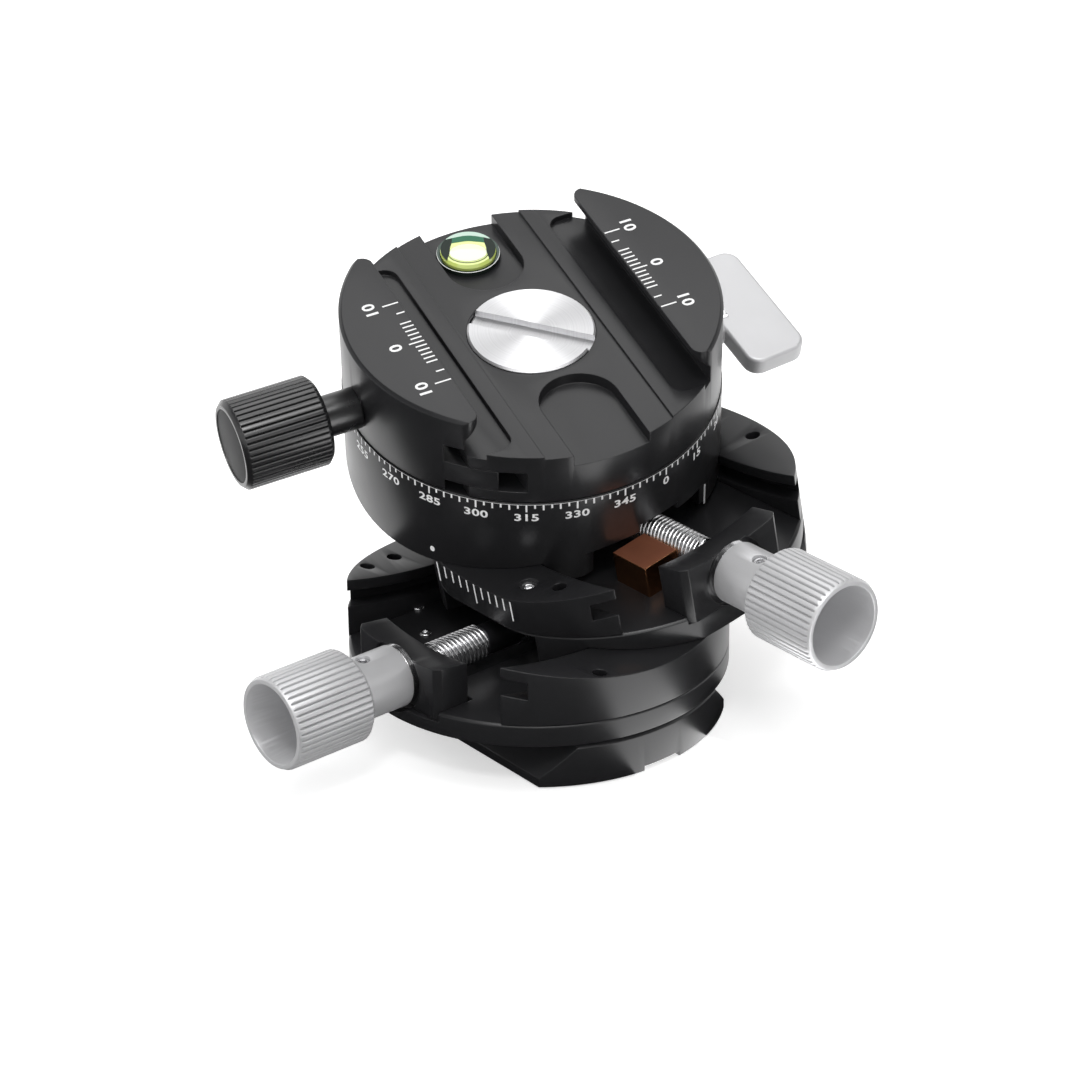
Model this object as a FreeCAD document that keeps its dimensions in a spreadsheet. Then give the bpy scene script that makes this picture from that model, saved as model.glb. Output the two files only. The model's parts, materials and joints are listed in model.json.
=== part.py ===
import FreeCAD, Part
import math
import os
from types import SimpleNamespace

import Sketcher

# Panoramic tripod head: two geared goniometer stages at right angles, with a
# graduated panning clamp on top. Millimetres, +Z up, origin on the axis at the
# underside of the foot. The lower knob points along -Y, the upper one along +X.

SIZES = {
    # Foot with its dovetail, seen from below
    "foot_radius": 29.4,
    "foot_height": 6.9,
    "foot_edge": 0.6,
    "dovetail_half": 19.0,
    "dovetail_lip": 1.5,
    "dovetail_top_half": 14.0,
    "dovetail_flank_top": 6.5,
    "foot_groove_half": 3.5,
    "foot_groove_depth": 0.8,
    "thread_bore_radius": 4.0,
    "insert_radius": 6.5,
    "insert_bottom": 0.0,
    "insert_top": 9.0,
    # Plate that carries the lower slide
    "plate_radius": 29.9,
    "plate_bottom": 7.3,
    "plate_top": 10.95,
    "plate_edge": 0.35,
    "worm_trough_half": 3.8,
    "worm_trough_floor": 9.9,
    "pocket_floor": 9.4,
    # Lower slide: its arcs turn about an axis along X above the head
    "lower_centre": 106.6,
    "lower_slide": 89.0,
    "lower_groove_inner": 90.7,
    "lower_groove_outer": 93.5,
    "lower_worm_z": 13.6,
    # Shared across both slides
    "rail_inner": 18.8,
    "rail_groove_half": 21.8,
    "leg_inner": 11.2,
    "leg_outer": 18.5,
    "leg_reach": 27.0,
    "tongue_half": 21.6,
    "slide_gap": 0.05,
    "groove_gap": 0.2,
    "block_half": 9.9,
    "block_inner": 22.4,
    "scoop_radius": 53.0,
    "lower_scoop_z": 16.5,
    "lower_scoop_slope": 8.0,
    "upper_scoop_z": 29.1,
    "upper_scoop_slope": 12.3,
    "block_corner": 1.0,
    "rack_half": 3.6,
    "rack_channel_half": 4.0,
    "lower_rack_depth": 2.0,
    "lower_rack_reach": 19.6,
    "upper_rack_depth": 2.4,
    "upper_rack_reach": 21.6,
    "rack_screw_reach": 17.0,
    "tooth_pitch": 0.8,
    "tooth_depth": 0.5,
    # Middle plate
    "mid_radius": 29.4,
    "mid_top": 22.5,
    "mid_front": 28.4,
    "mid_side": 28.3,
    "mid_edge": 0.35,
    "lower_rack_tip": 89.95,
    # Upper slide: its arcs turn about an axis along Y
    "upper_centre": 111.5,
    "upper_slide": 83.7,
    "upper_groove_inner": 85.4,
    "upper_groove_outer": 88.2,
    "upper_worm_z": 26.0,
    "upper_block_seat": 21.4,
    "upper_rack_tip": 82.45,
    "shoe_start": 11.2,
    "shoe_end": 18.7,
    "shoe_near": 3.15,
    "shoe_far": 9.7,
    "shoe_top": 27.8,
    "shoe_pin_radius": 0.8,
    "shoe_pin_length": 4.4,
    "shoe_pin_depth": 2.5,
    "shoe_pin_inset": 1.6,
    # Worm, shaft and knob of one drive, along its own axis from the centre line
    "shaft_radius": 2.25,
    "worm_radius": 2.85,
    "worm_root": 2.4,
    "worm_start": -5.0,
    "worm_end": 21.4,
    "tail_radius": 2.0,
    "tail_end": -9.2,
    "tail_bore": 2.06,
    "tail_block_near": -5.3,
    "tail_block_far": -9.4,
    "tail_block_half": 3.9,
    "bush_radius": 2.8,
    "bush_bore": 2.31,
    "bush_start": 22.9,
    "bush_end": 27.4,
    "counterbore_start": 27.7,
    "collar_radius": 4.9,
    "collar_end": 37.7,
    "knob_radius": 7.4,
    "knob_end": 52.0,
    "knob_edge": 0.7,
    "knob_cup_radius": 6.35,
    "knob_cup_floor_radius": 5.4,
    "knob_cup_floor": 42.4,
    "knurl_depth": 0.55,
    "counterbore_radius": 5.6,
    "washer_radius": 4.8,
    "washer_thickness": 1.1,
    "set_screw_radius": 1.1,
    "set_screw_along": 34.6,
    # Graduated body
    "body_radius": 30.0,
    "body_top": 43.9,
    "body_edge": 0.3,
    "drum_bore": 17.3,
    "drum_floor": 38.0,
    "drum_radius": 17.0,
    "drum_start": 38.4,
    "spindle_radius": 6.0,
    "spindle_bore": 6.06,
    "spindle_end": 33.9,
    "retainer_recess": 9.0,
    "retainer_ceiling": 35.8,
    "retainer_radius": 8.2,
    "retainer_top": 35.6,
    "retainer_bottom": 34.6,
    "retainer_neck": 5.0,
    # Pan lock: a wing on a radial screw
    "lock_z": 39.6,
    "lock_azimuth": 79.0,
    "lock_roll": 8.0,
    "lock_bore": 2.1,
    "lock_screw_radius": 2.0,
    "lock_shoe_end": 20.0,
    "wing_start": 34.0,
    "wing_end": 44.6,
    "wing_half": 11.8,
    "wing_thickness": 3.5,
    "wing_corner": 2.6,
    "wing_hub_radius": 3.6,
    "wing_hub_start": 30.6,
    # Clamp disc, in its own directions: s across the jaws, t along them
    "disc_radius": 29.85,
    "disc_bottom": 44.2,
    "disc_edge": 0.5,
    "strip_top": 53.3,
    "channel_half": 10.75,
    "channel_floor": 52.9,
    "jaw_top": 58.8,
    "jaw_lip": 1.0,
    "fixed_jaw": 17.4,
    "fixed_root": 20.0,
    "moving_jaw": 18.3,
    "moving_root": 20.9,
    "jaw_root_z": 55.3,
    "jaw_tip_round": 1.8,
    "relief_start": 13.5,
    "relief_half": 21.0,
    "relief_round": 2.5,
    "relief_floor": 52.3,
    "pocket_near": 6.1,
    "pocket_far": 6.5,
    "pocket_round_centre": 18.0,
    "level_pocket_floor": 51.0,
    "slot_bottom": 46.2,
    "slot_top": 50.1,
    "slot_end": 13.2,
    "deck_edge": 20.6,
    "moving_full": 23.3,
    "tongue_end": 17.0,
    "jaw_gap": 0.08,
    "centre_head_radius": 10.07,
    "centre_head_bottom": 50.6,
    "centre_slot_half": 0.9,
    "centre_slot_depth": 1.2,
    "centre_slot_turn": -43.7,
    "centre_shank_radius": 4.0,
    "centre_shank_end": 40.4,
    "level_s": -0.3,
    "level_t": 23.2,
    "level_cup_radius": 5.1,
    "level_cup_bore": 4.6,
    "level_cup_top": 51.7,
    "level_vial_radius": 4.5,
    "level_vial_top": 52.5,
    "level_bottom": 47.4,
    "clamp_z": 48.6,
    "clamp_screw_radius": 1.7,
    "clamp_screw_end": 7.0,
    "clamp_collar_radius": 3.3,
    "clamp_knob_start": 36.2,
    "clamp_knob_end": 50.6,
    "clamp_knob_radius": 7.2,
    "clamp_cap_radius": 5.9,
    "clamp_cap_depth": 0.5,
    "pin_radius": 1.4,
    "pin_t": 14.0,
    "pin_start": 9.0,
    "pin_end": 20.2,
    # Screws
    "cap_head_radius": 2.1,
    "cap_head_height": 1.8,
    "cap_shank_radius": 1.1,
    "socket_radius": 1.2,
    "socket_depth": 1.0,
    "hole_gap": 0.05,
    "small_head_radius": 1.5,
    "small_head_height": 1.1,
    "small_shank_radius": 0.9,
    # Tilts of the two stages as photographed, and the turn of the clamp
    "lower_tilt": 11.1,
    "upper_tilt": 13.0,
    "clamp_turn": 73.8,
}

KNURLS = 46
FAR = 80.0
TOL = 0.05
UP = FreeCAD.Vector(0, 0, 1)
ALONG_X = FreeCAD.Rotation(FreeCAD.Vector(0, 1, 0), 90)
ALONG_Y = FreeCAD.Rotation(FreeCAD.Vector(1, 0, 0), -90)
STRAIGHT = FreeCAD.Rotation()
TURNS = {"X": ALONG_X, "Y": ALONG_Y, "Z": STRAIGHT}

doc = FreeCAD.newDocument("panoramic_tripod_head")
sheet = doc.addObject("Spreadsheet::Sheet", "dims")


class Size:
    """A length known both as a spreadsheet formula and as a number."""

    def __init__(self, text, value):
        self.text = text
        self.value = value

    def __add__(self, other):
        return joined(self, "+", other)

    def __radd__(self, other):
        return joined(other, "+", self)

    def __sub__(self, other):
        return joined(self, "-", other)

    def __rsub__(self, other):
        return joined(other, "-", self)

    def __mul__(self, other):
        return joined(self, "*", other)

    def __rmul__(self, other):
        return joined(other, "*", self)

    def __truediv__(self, other):
        return joined(self, "/", other)

    def __neg__(self):
        return joined(0, "-", self)


def text_of(item):
    return item.text if isinstance(item, Size) else repr(float(item))


def number(item):
    return item.value if isinstance(item, Size) else float(item)


def joined(left, sign, right):
    a = number(left)
    b = number(right)
    if sign == "+":
        value = a + b
    elif sign == "-":
        value = a - b
    elif sign == "*":
        value = a * b
    else:
        value = a / b
    return Size("(" + text_of(left) + " " + sign + " " + text_of(right) + ")", value)


def square_root(item):
    return Size("sqrt(" + item.text + ")", math.sqrt(item.value))


def fill_sheet():
    for row, (name, value) in enumerate(SIZES.items(), start=1):
        sheet.set("A" + str(row), name)
        sheet.set("B" + str(row), str(value))
        sheet.setAlias("B" + str(row), name)
    doc.recompute()
    return {name: Size("dims." + name, value) for name, value in SIZES.items()}


d = SimpleNamespace(**fill_sheet())
nodes = []


def bind(obj, prop, item):
    if isinstance(item, Size):
        obj.setExpression(prop, item.text)
    else:
        obj.setExpression(prop, repr(float(item)))


def locate(obj, x, y, z, turn=STRAIGHT):
    obj.Placement = FreeCAD.Placement(FreeCAD.Vector(number(x), number(y), number(z)), turn)
    bind(obj, "Placement.Base.x", x)
    bind(obj, "Placement.Base.y", y)
    bind(obj, "Placement.Base.z", z)
    return obj


def rod(name, radius, length, axis="Z", x=0, y=0, z=0):
    obj = doc.addObject("Part::Cylinder", name)
    bind(obj, "Radius", radius)
    bind(obj, "Height", length)
    return locate(obj, x, y, z, TURNS[axis])


def block(name, x0, x1, y0, y1, z0, z1):
    obj = doc.addObject("Part::Box", name)
    bind(obj, "Length", x1 - x0)
    bind(obj, "Width", y1 - y0)
    bind(obj, "Height", z1 - z0)
    return locate(obj, x0, y0, z0)


def arc_drum(name, radius, axis, centre):
    # A long cylinder whose curved face is one arc of a slide
    if axis == "X":
        return rod(name, radius, 2 * FAR, "X", x=-FAR, z=centre)
    return rod(name, radius, 2 * FAR, "Y", y=-FAR, z=centre)


def fuse(name, *shapes):
    if len(shapes) == 1:
        return shapes[0]
    obj = doc.addObject("Part::MultiFuse", name)
    obj.Shapes = list(shapes)
    obj.Refine = True
    return obj


def common(name, *shapes):
    obj = doc.addObject("Part::MultiCommon", name)
    obj.Shapes = list(shapes)
    obj.Refine = True
    return obj


def cut(name, base, *tools):
    obj = doc.addObject("Part::Cut", name)
    obj.Base = base
    obj.Tool = fuse(name + "_tools", *tools)
    obj.Refine = True
    return obj


def edges_where(obj, test):
    doc.recompute()
    return [i for i, edge in enumerate(obj.Shape.Edges, start=1) if test(edge)]


def bevel(name, base, size, test):
    obj = doc.addObject("Part::Chamfer", name)
    obj.Base = base
    obj.Edges = [(i, number(size), number(size)) for i in edges_where(base, test)]
    return obj


def rounded(name, base, size, test):
    obj = doc.addObject("Part::Fillet", name)
    obj.Base = base
    obj.Edges = [(i, number(size), number(size)) for i in edges_where(base, test)]
    return obj


def rim(radius, height):
    # Picks the arcs of one radius about the main axis at one height
    def test(edge):
        curve = edge.Curve
        if not isinstance(curve, Part.Circle):
            return False
        flat = abs(edge.BoundBox.ZMax - number(height)) < TOL
        return flat and abs(curve.Radius - number(radius)) < TOL and edge.BoundBox.ZLength < TOL
    return test


def vertical_at(x, y):
    # Picks the upright straight edges that pass through one point of the plan
    def test(edge):
        box = edge.BoundBox
        thin = box.XLength < TOL and box.YLength < TOL and box.ZLength > TOL
        return thin and abs(box.XMin - x) < TOL and abs(box.YMin - y) < TOL
    return test


def finish(obj, name, frame=None):
    # Registers one piece under its node name, moved into the frame of its stage
    obj.Label = name
    if frame is not None:
        obj.Placement = frame.multiply(obj.Placement)
    nodes.append((name, obj))
    return obj


def origin_part(body, role):
    for feature in body.Origin.OriginFeatures:
        if feature.Role == role:
            return feature
    raise RuntimeError("no " + role)


def new_sketch(body, role, offset=None):
    sketch = body.newObject("Sketcher::SketchObject", body.Name + "_sketch")
    sketch.AttachmentSupport = (origin_part(body, role), "")
    sketch.MapMode = "FlatFace"
    if offset is not None:
        sketch.AttachmentOffset = FreeCAD.Placement(UP * number(offset), STRAIGHT)
        bind(sketch, "AttachmentOffset.Base.z", offset)
    return sketch


def hold(sketch, kind, geometry, point, item):
    value = number(item)
    if abs(value) < 1e-9:
        line = -2 if kind == "DistanceX" else -1
        sketch.addConstraint(Sketcher.Constraint("PointOnObject", geometry, point, line))
        return
    index = sketch.addConstraint(Sketcher.Constraint(kind, -1, 1, geometry, point, value))
    if isinstance(item, Size):
        sketch.setExpression("Constraints[" + str(index) + "]", item.text)


def outline(sketch, points):
    first = sketch.GeometryCount
    count = len(points)
    spots = [FreeCAD.Vector(number(x), number(y), 0) for x, y in points]
    for i in range(count):
        sketch.addGeometry(Part.LineSegment(spots[i], spots[(i + 1) % count]), False)
    for i in range(count):
        following = first + (i + 1) % count
        sketch.addConstraint(Sketcher.Constraint("Coincident", first + i, 2, following, 1))
    for i, (x, y) in enumerate(points):
        hold(sketch, "DistanceX", first + i, 1, x)
        hold(sketch, "DistanceY", first + i, 1, y)


def ring(sketch, radius, x=0, y=0):
    spot = FreeCAD.Vector(number(x), number(y), 0)
    item = sketch.addGeometry(Part.Circle(spot, UP, number(radius)), False)
    index = sketch.addConstraint(Sketcher.Constraint("Radius", item, number(radius)))
    sketch.setExpression("Constraints[" + str(index) + "]", text_of(radius))
    hold(sketch, "DistanceX", item, 3, x)
    hold(sketch, "DistanceY", item, 3, y)


def turned(name, points):
    # A piece turned about its own Z, from pairs of radius and height
    body = doc.addObject("PartDesign::Body", name)
    sketch = new_sketch(body, "XZ_Plane")
    outline(sketch, points)
    feature = body.newObject("PartDesign::Revolution", name + "_turning")
    feature.Profile = sketch
    feature.ReferenceAxis = (sketch, ["V_Axis"])
    feature.Angle = 360
    doc.recompute()
    return body


def pocket(body, sketch, length=None):
    feature = body.newObject("PartDesign::Pocket", body.Name + "_pocket")
    feature.Profile = sketch
    if length is None:
        feature.Type = 1
        feature.Midplane = True
    else:
        bind(feature, "Length", length)
    doc.recompute()
    return feature


def around(body, feature, count):
    pattern = body.newObject("PartDesign::PolarPattern", body.Name + "_pattern")
    pattern.Originals = [feature]
    pattern.Axis = (origin_part(body, "Z_Axis"), [""])
    pattern.Angle = 360
    pattern.Occurrences = count
    body.Tip = pattern
    doc.recompute()
    return pattern


def along(body, feature, length, count):
    pattern = body.newObject("PartDesign::LinearPattern", body.Name + "_row")
    pattern.Originals = [feature]
    pattern.Direction = (origin_part(body, "Z_Axis"), [""])
    bind(pattern, "Length", length)
    pattern.Occurrences = count
    body.Tip = pattern
    doc.recompute()
    return pattern


def knurl(body, radius, start, end):
    # Straight knurling: one V cut down the rim, repeated round the axis
    before = body.Shape.Volume
    half = math.pi * number(radius) / KNURLS * 0.62
    sketch = new_sketch(body, "XY_Plane", end)
    over = radius + 0.3
    outline(sketch, [(radius - d.knurl_depth, 0), (over, -half), (over, half)])
    notch = pocket(body, sketch, end - start)
    around(body, notch, KNURLS)
    if body.Shape.Volume >= before:
        raise RuntimeError("knurl cut nothing on " + body.Name)


def stage_frame(point_z, axis, angle):
    centre = FreeCAD.Vector(0, 0, point_z)
    turn = FreeCAD.Rotation(axis, angle)
    return FreeCAD.Placement(centre - turn.multVec(centre), turn)


# Frames of the three moving stages, and of the three knob axes
MID = stage_frame(number(d.lower_centre), FreeCAD.Vector(1, 0, 0), number(d.lower_tilt))
TILT = MID.multiply(
    stage_frame(number(d.upper_centre), FreeCAD.Vector(0, 1, 0), number(d.upper_tilt)))
CLAMP = TILT.multiply(
    FreeCAD.Placement(FreeCAD.Vector(), FreeCAD.Rotation(UP, number(d.clamp_turn))))


def knob_frame(outward, height):
    # Local Z runs out along the knob axis and local Y points up
    side = UP.cross(outward)
    turn = FreeCAD.Rotation(side, UP, outward, "ZYX")
    return FreeCAD.Placement(UP * number(height), turn)


LOWER_AXIS = knob_frame(FreeCAD.Vector(0, -1, 0), d.lower_worm_z)
UPPER_AXIS = MID.multiply(knob_frame(FreeCAD.Vector(1, 0, 0), d.upper_worm_z))
CLAMP_AXIS = CLAMP.multiply(knob_frame(FreeCAD.Vector(-1, 0, 0), d.clamp_z))


def screw_tools(name, spots, head_z, head_top, tip_z, gap):
    # Heads and shanks of a set of upright screws whose heads face down
    parts = []
    for i, (x, y) in enumerate(spots):
        label = name + "_" + str(i)
        parts.append(rod(label + "_head", d.cap_head_radius + gap, head_top - head_z,
                         x=x, y=y, z=head_z))
        parts.append(rod(label + "_shank", d.cap_shank_radius + gap, tip_z - head_top,
                         x=x, y=y, z=head_top))
    return parts


def hex_socket(name, x, y, z, turn=STRAIGHT):
    obj = doc.addObject("Part::Prism", name)
    obj.Polygon = 6
    bind(obj, "Circumradius", d.socket_radius)
    bind(obj, "Height", d.socket_depth)
    return locate(obj, x, y, z, turn)


def screw_set(name, spots, head_z, tip_z, frame=None):
    # Cap screws driven up from below, with hexagon sockets in their lower ends
    head_top = head_z + d.cap_head_height
    solid = fuse(name + "_solid", *screw_tools(name, spots, head_z, head_top, tip_z, 0))
    sockets = [hex_socket(name + "_socket_" + str(i), x, y, head_z)
               for i, (x, y) in enumerate(spots)]
    return finish(cut(name + "_body", solid, *sockets), name, frame)


def screw_holes(name, spots, open_z, head_z, tip_z):
    # Clearance for such screws, open down to open_z
    top = head_z + d.cap_head_height + d.hole_gap
    return screw_tools(name, spots, open_z, top, tip_z + d.hole_gap, d.hole_gap)


def shank_holes(name, spots, low, tip_z):
    # The part of such holes that only the shank passes through
    return [rod(name + "_" + str(i), d.cap_shank_radius + d.hole_gap,
                tip_z + d.hole_gap - low, x=x, y=y, z=low)
            for i, (x, y) in enumerate(spots)]


def top_screw_tools(name, spots, head_top, gap):
    # Small screws driven down from above into the middle plate
    parts = []
    for i, (x, y) in enumerate(spots):
        parts.append(rod(name + "_head_" + str(i), d.small_head_radius + gap,
                         head_top - MID_RAIL_HEAD_Z, x=x, y=y, z=MID_RAIL_HEAD_Z))
        parts.append(rod(name + "_shank_" + str(i), d.small_shank_radius + gap,
                         MID_RAIL_HEAD_Z - MID_RAIL_TIP_Z + gap, x=x, y=y,
                         z=MID_RAIL_TIP_Z - gap))
    return parts


def plain_hole(name, x, y, top, bottom, radius):
    return rod(name, radius, top - bottom, x=x, y=y, z=bottom)


# Positions of the fixing screws, from the centre
FOOT_SPOTS = [(12.5, 11.0), (-12.5, 11.0), (12.5, -11.0), (-12.5, -11.0)]
RAIL_SPOTS = [(24.9, 2.0), (-24.9, 2.0), (23.6, 12.5), (-23.6, 12.5)]
BLOCK_SPOTS = [(7.6, -24.4), (-7.6, -24.4)]
MID_RAIL_SPOTS = [(-4.5, 23.5), (7.2, -23.5), (-13.5, 23.5), (-7.2, -23.5)]
MID_BLOCK_SPOTS = [(24.4, 7.6), (24.4, -7.6)]
HOLE_RADIUS = 1.2
HOLE_DEPTH = 4.0
FOOT_HEAD_Z = 1.2
FOOT_TIP_Z = 10.2
PLATE_HEAD_Z = 7.6
RAIL_TIP_Z = 15.0
BLOCK_TIP_Z = 15.4
MID_HEAD_Z = 18.4
MID_RAIL_TIP_Z = 21.4
MID_RAIL_HEAD_Z = 26.4
MID_BLOCK_TIP_Z = 25.4


def foot():
    body = doc.addObject("PartDesign::Body", "foot_body")
    sketch = new_sketch(body, "XY_Plane")
    ring(sketch, d.foot_radius)
    pad = body.newObject("PartDesign::Pad", "foot_disc")
    pad.Profile = sketch
    bind(pad, "Length", d.foot_height)
    doc.recompute()
    edges = edges_where(pad, rim(d.foot_radius, d.foot_height))
    bevelled = body.newObject("PartDesign::Chamfer", "foot_rim")
    bevelled.Base = (pad, ["Edge" + str(i) for i in edges])
    bind(bevelled, "Size", d.foot_edge)
    doc.recompute()
    profile = new_sketch(body, "YZ_Plane")
    beyond = d.foot_radius + 2
    for side in (1, -1):
        outline(profile, [
            (side * d.dovetail_half, -1),
            (side * d.dovetail_half, d.dovetail_lip),
            (side * d.dovetail_top_half, d.dovetail_flank_top),
            (side * d.dovetail_top_half, d.foot_height + 1),
            (side * beyond, d.foot_height + 1),
            (side * beyond, -1)])
    outline(profile, [
        (-d.foot_groove_half, -1),
        (-d.foot_groove_half, d.foot_groove_depth),
        (d.foot_groove_half, d.foot_groove_depth),
        (d.foot_groove_half, -1)])
    before = body.Shape.Volume
    pocket(body, profile)
    if body.Shape.Volume >= before:
        raise RuntimeError("the dovetail cut nothing")
    boss = rod("foot_boss", d.dovetail_top_half - 1, d.plate_bottom - d.foot_height,
               z=d.foot_height)
    whole = fuse("foot_whole", body, boss)
    bore = rod("foot_bore", d.insert_radius, FAR, z=-1)
    holes = screw_holes("foot_hole", FOOT_SPOTS, -1, FOOT_HEAD_Z, FOOT_TIP_Z)
    finish(cut("foot_drilled", whole, bore, *holes), "base_foot")
    insert = turned("insert_body", [
        (d.thread_bore_radius, d.insert_bottom),
        (d.insert_radius, d.insert_bottom),
        (d.insert_radius, d.insert_top),
        (d.thread_bore_radius, d.insert_top)])
    finish(insert, "thread_insert")
    screw_set("foot_screws", FOOT_SPOTS, FOOT_HEAD_Z, FOOT_TIP_Z)


def lower_plate():
    disc = rod("plate_disc", d.plate_radius, d.plate_top - d.plate_bottom, z=d.plate_bottom)
    bevelled = bevel("plate_bevel", disc, d.plate_edge, rim(d.plate_radius, d.plate_top))
    reach = d.worm_end
    trough = block("plate_trough", -d.worm_trough_half, d.worm_trough_half,
                   -reach, -d.tail_block_near, d.worm_trough_floor, d.plate_top + 1)
    seat = block("plate_seat", -d.block_half, d.block_half, -FAR, -d.worm_end,
                 d.pocket_floor, d.plate_top + 1)
    relief = rod("plate_relief", d.counterbore_radius, FAR, "Y",
                 y=-FAR - d.counterbore_start, z=d.lower_worm_z)
    bore = rod("plate_bore", d.insert_radius, d.insert_top + 0.1 - d.plate_bottom,
               z=d.plate_bottom)
    shanks = shank_holes("plate_foot_hole", FOOT_SPOTS, d.plate_bottom - 1, FOOT_TIP_Z)
    rails = screw_holes("plate_rail_hole", RAIL_SPOTS, d.plate_bottom - 1,
                        PLATE_HEAD_Z, RAIL_TIP_Z)
    blocks = screw_holes("plate_block_hole", BLOCK_SPOTS, d.plate_bottom - 1,
                         PLATE_HEAD_Z, BLOCK_TIP_Z)
    finish(cut("plate_body", bevelled, trough, seat, relief, bore, *shanks, *rails, *blocks),
           "lower_plate")
    screw_set("lower_rail_screws", RAIL_SPOTS, PLATE_HEAD_Z, RAIL_TIP_Z)
    screw_set("lower_block_screws", BLOCK_SPOTS, PLATE_HEAD_Z, BLOCK_TIP_Z)


def lower_rail(name, side, extra):
    inner = d.rail_inner
    low = d.plate_top
    x0 = inner if side > 0 else -FAR
    x1 = FAR if side > 0 else -inner
    blank = common(name + "_blank",
                   rod(name + "_round", d.plate_radius, 12, z=low),
                   block(name + "_side", x0, x1, -FAR, FAR, low - 1, low + 13))
    slide = arc_drum(name + "_slide", d.lower_slide, "X", d.lower_centre)
    g0 = inner - 1 if side > 0 else -d.rail_groove_half
    g1 = d.rail_groove_half if side > 0 else 1 - inner
    outer = common(name + "_groove_outer",
                   arc_drum(name + "_arc_outer", d.lower_groove_outer, "X", d.lower_centre),
                   block(name + "_strip", g0, g1, -FAR, FAR, 0, 30))
    groove = cut(name + "_groove", outer,
                 arc_drum(name + "_arc_inner", d.lower_groove_inner, "X", d.lower_centre))
    spots = [spot for spot in RAIL_SPOTS if spot[0] * side > 0]
    shanks = shank_holes(name + "_hole", spots, low - 1, RAIL_TIP_Z)
    tops = [plain_hole(name + "_top_" + str(i), x, y, 22, z, HOLE_RADIUS)
            for i, (x, y, z) in enumerate(extra)]
    finish(cut(name + "_body", blank, slide, groove, *shanks, *tops), name)


def scoop(name, outward, height, slope):
    # Long drum whose lowest line runs up and outwards over the worm's shaft
    reach = 40.0
    angle = math.radians(number(slope))
    radius = number(d.scoop_radius)
    out = FreeCAD.Vector(outward) * math.cos(angle)
    line = FreeCAD.Vector(out.x, out.y, math.sin(angle))
    lift = UP * math.cos(angle) - FreeCAD.Vector(outward) * math.sin(angle)
    low = FreeCAD.Vector(outward) * number(d.block_inner) + UP * number(height)
    drum = doc.addObject("Part::Cylinder", name)
    bind(drum, "Radius", d.scoop_radius)
    drum.Height = 2 * reach
    drum.Placement = FreeCAD.Placement(low + lift * radius - line * reach,
                                       FreeCAD.Rotation(UP, line))
    return drum


def lower_block():
    half = d.block_half
    blank = block("lower_block_blank", -half, half, -d.mid_side, -d.block_inner,
                  d.pocket_floor, 24)
    arc = scoop("lower_block_scoop", (0, -1, 0), d.lower_scoop_z, d.lower_scoop_slope)
    bore = rod("lower_block_bore", d.bush_radius, FAR, "Y", y=-FAR, z=d.lower_worm_z)
    relief = rod("lower_block_relief", d.counterbore_radius, FAR, "Y",
                 y=-FAR - d.counterbore_start, z=d.lower_worm_z)
    shanks = shank_holes("lower_block_hole", BLOCK_SPOTS, d.pocket_floor - 1, BLOCK_TIP_Z)
    y = -number(d.mid_side)
    x = number(half)
    bevelled = bevel("lower_block_bevel", blank, d.block_corner,
                     lambda edge: vertical_at(x, y)(edge) or vertical_at(-x, y)(edge))
    finish(cut("lower_block_body", bevelled, arc, bore, relief, *shanks),
           "lower_bearing_block")


def upper_block():
    half = d.block_half
    blank = block("upper_block_blank", d.block_inner, d.mid_side, -half, half,
                  d.upper_block_seat, 36)
    arc = scoop("upper_block_scoop", (1, 0, 0), d.upper_scoop_z, d.upper_scoop_slope)
    bore = rod("upper_block_bore", d.bush_radius, FAR, "X", z=d.upper_worm_z)
    relief = rod("upper_block_relief", d.counterbore_radius, FAR, "X",
                 x=d.counterbore_start, z=d.upper_worm_z)
    shanks = shank_holes("upper_block_hole", MID_BLOCK_SPOTS, d.upper_block_seat - 1,
                         MID_BLOCK_TIP_Z)
    x = number(d.mid_side)
    y = number(half)
    bevelled = bevel("upper_block_bevel", blank, d.block_corner,
                     lambda edge: vertical_at(x, y)(edge) or vertical_at(x, -y)(edge))
    finish(cut("upper_block_body", bevelled, arc, bore, relief, *shanks),
           "upper_bearing_block", MID)


def tail_block(name, axis, low, height, frame):
    near = d.tail_block_near
    far = d.tail_block_far
    half = d.tail_block_half
    top = height + half - 1.2
    if axis == "Y":
        blank = block(name + "_blank", -half, half, -near, -far, low, top)
        bore = rod(name + "_bore", d.tail_bore, FAR, "Y", z=height)
    else:
        blank = block(name + "_blank", far, near, -half, half, low, top)
        bore = rod(name + "_bore", d.tail_bore, FAR, "X", x=-FAR, z=height)
    finish(cut(name + "_body", blank, bore), name, frame)


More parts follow.
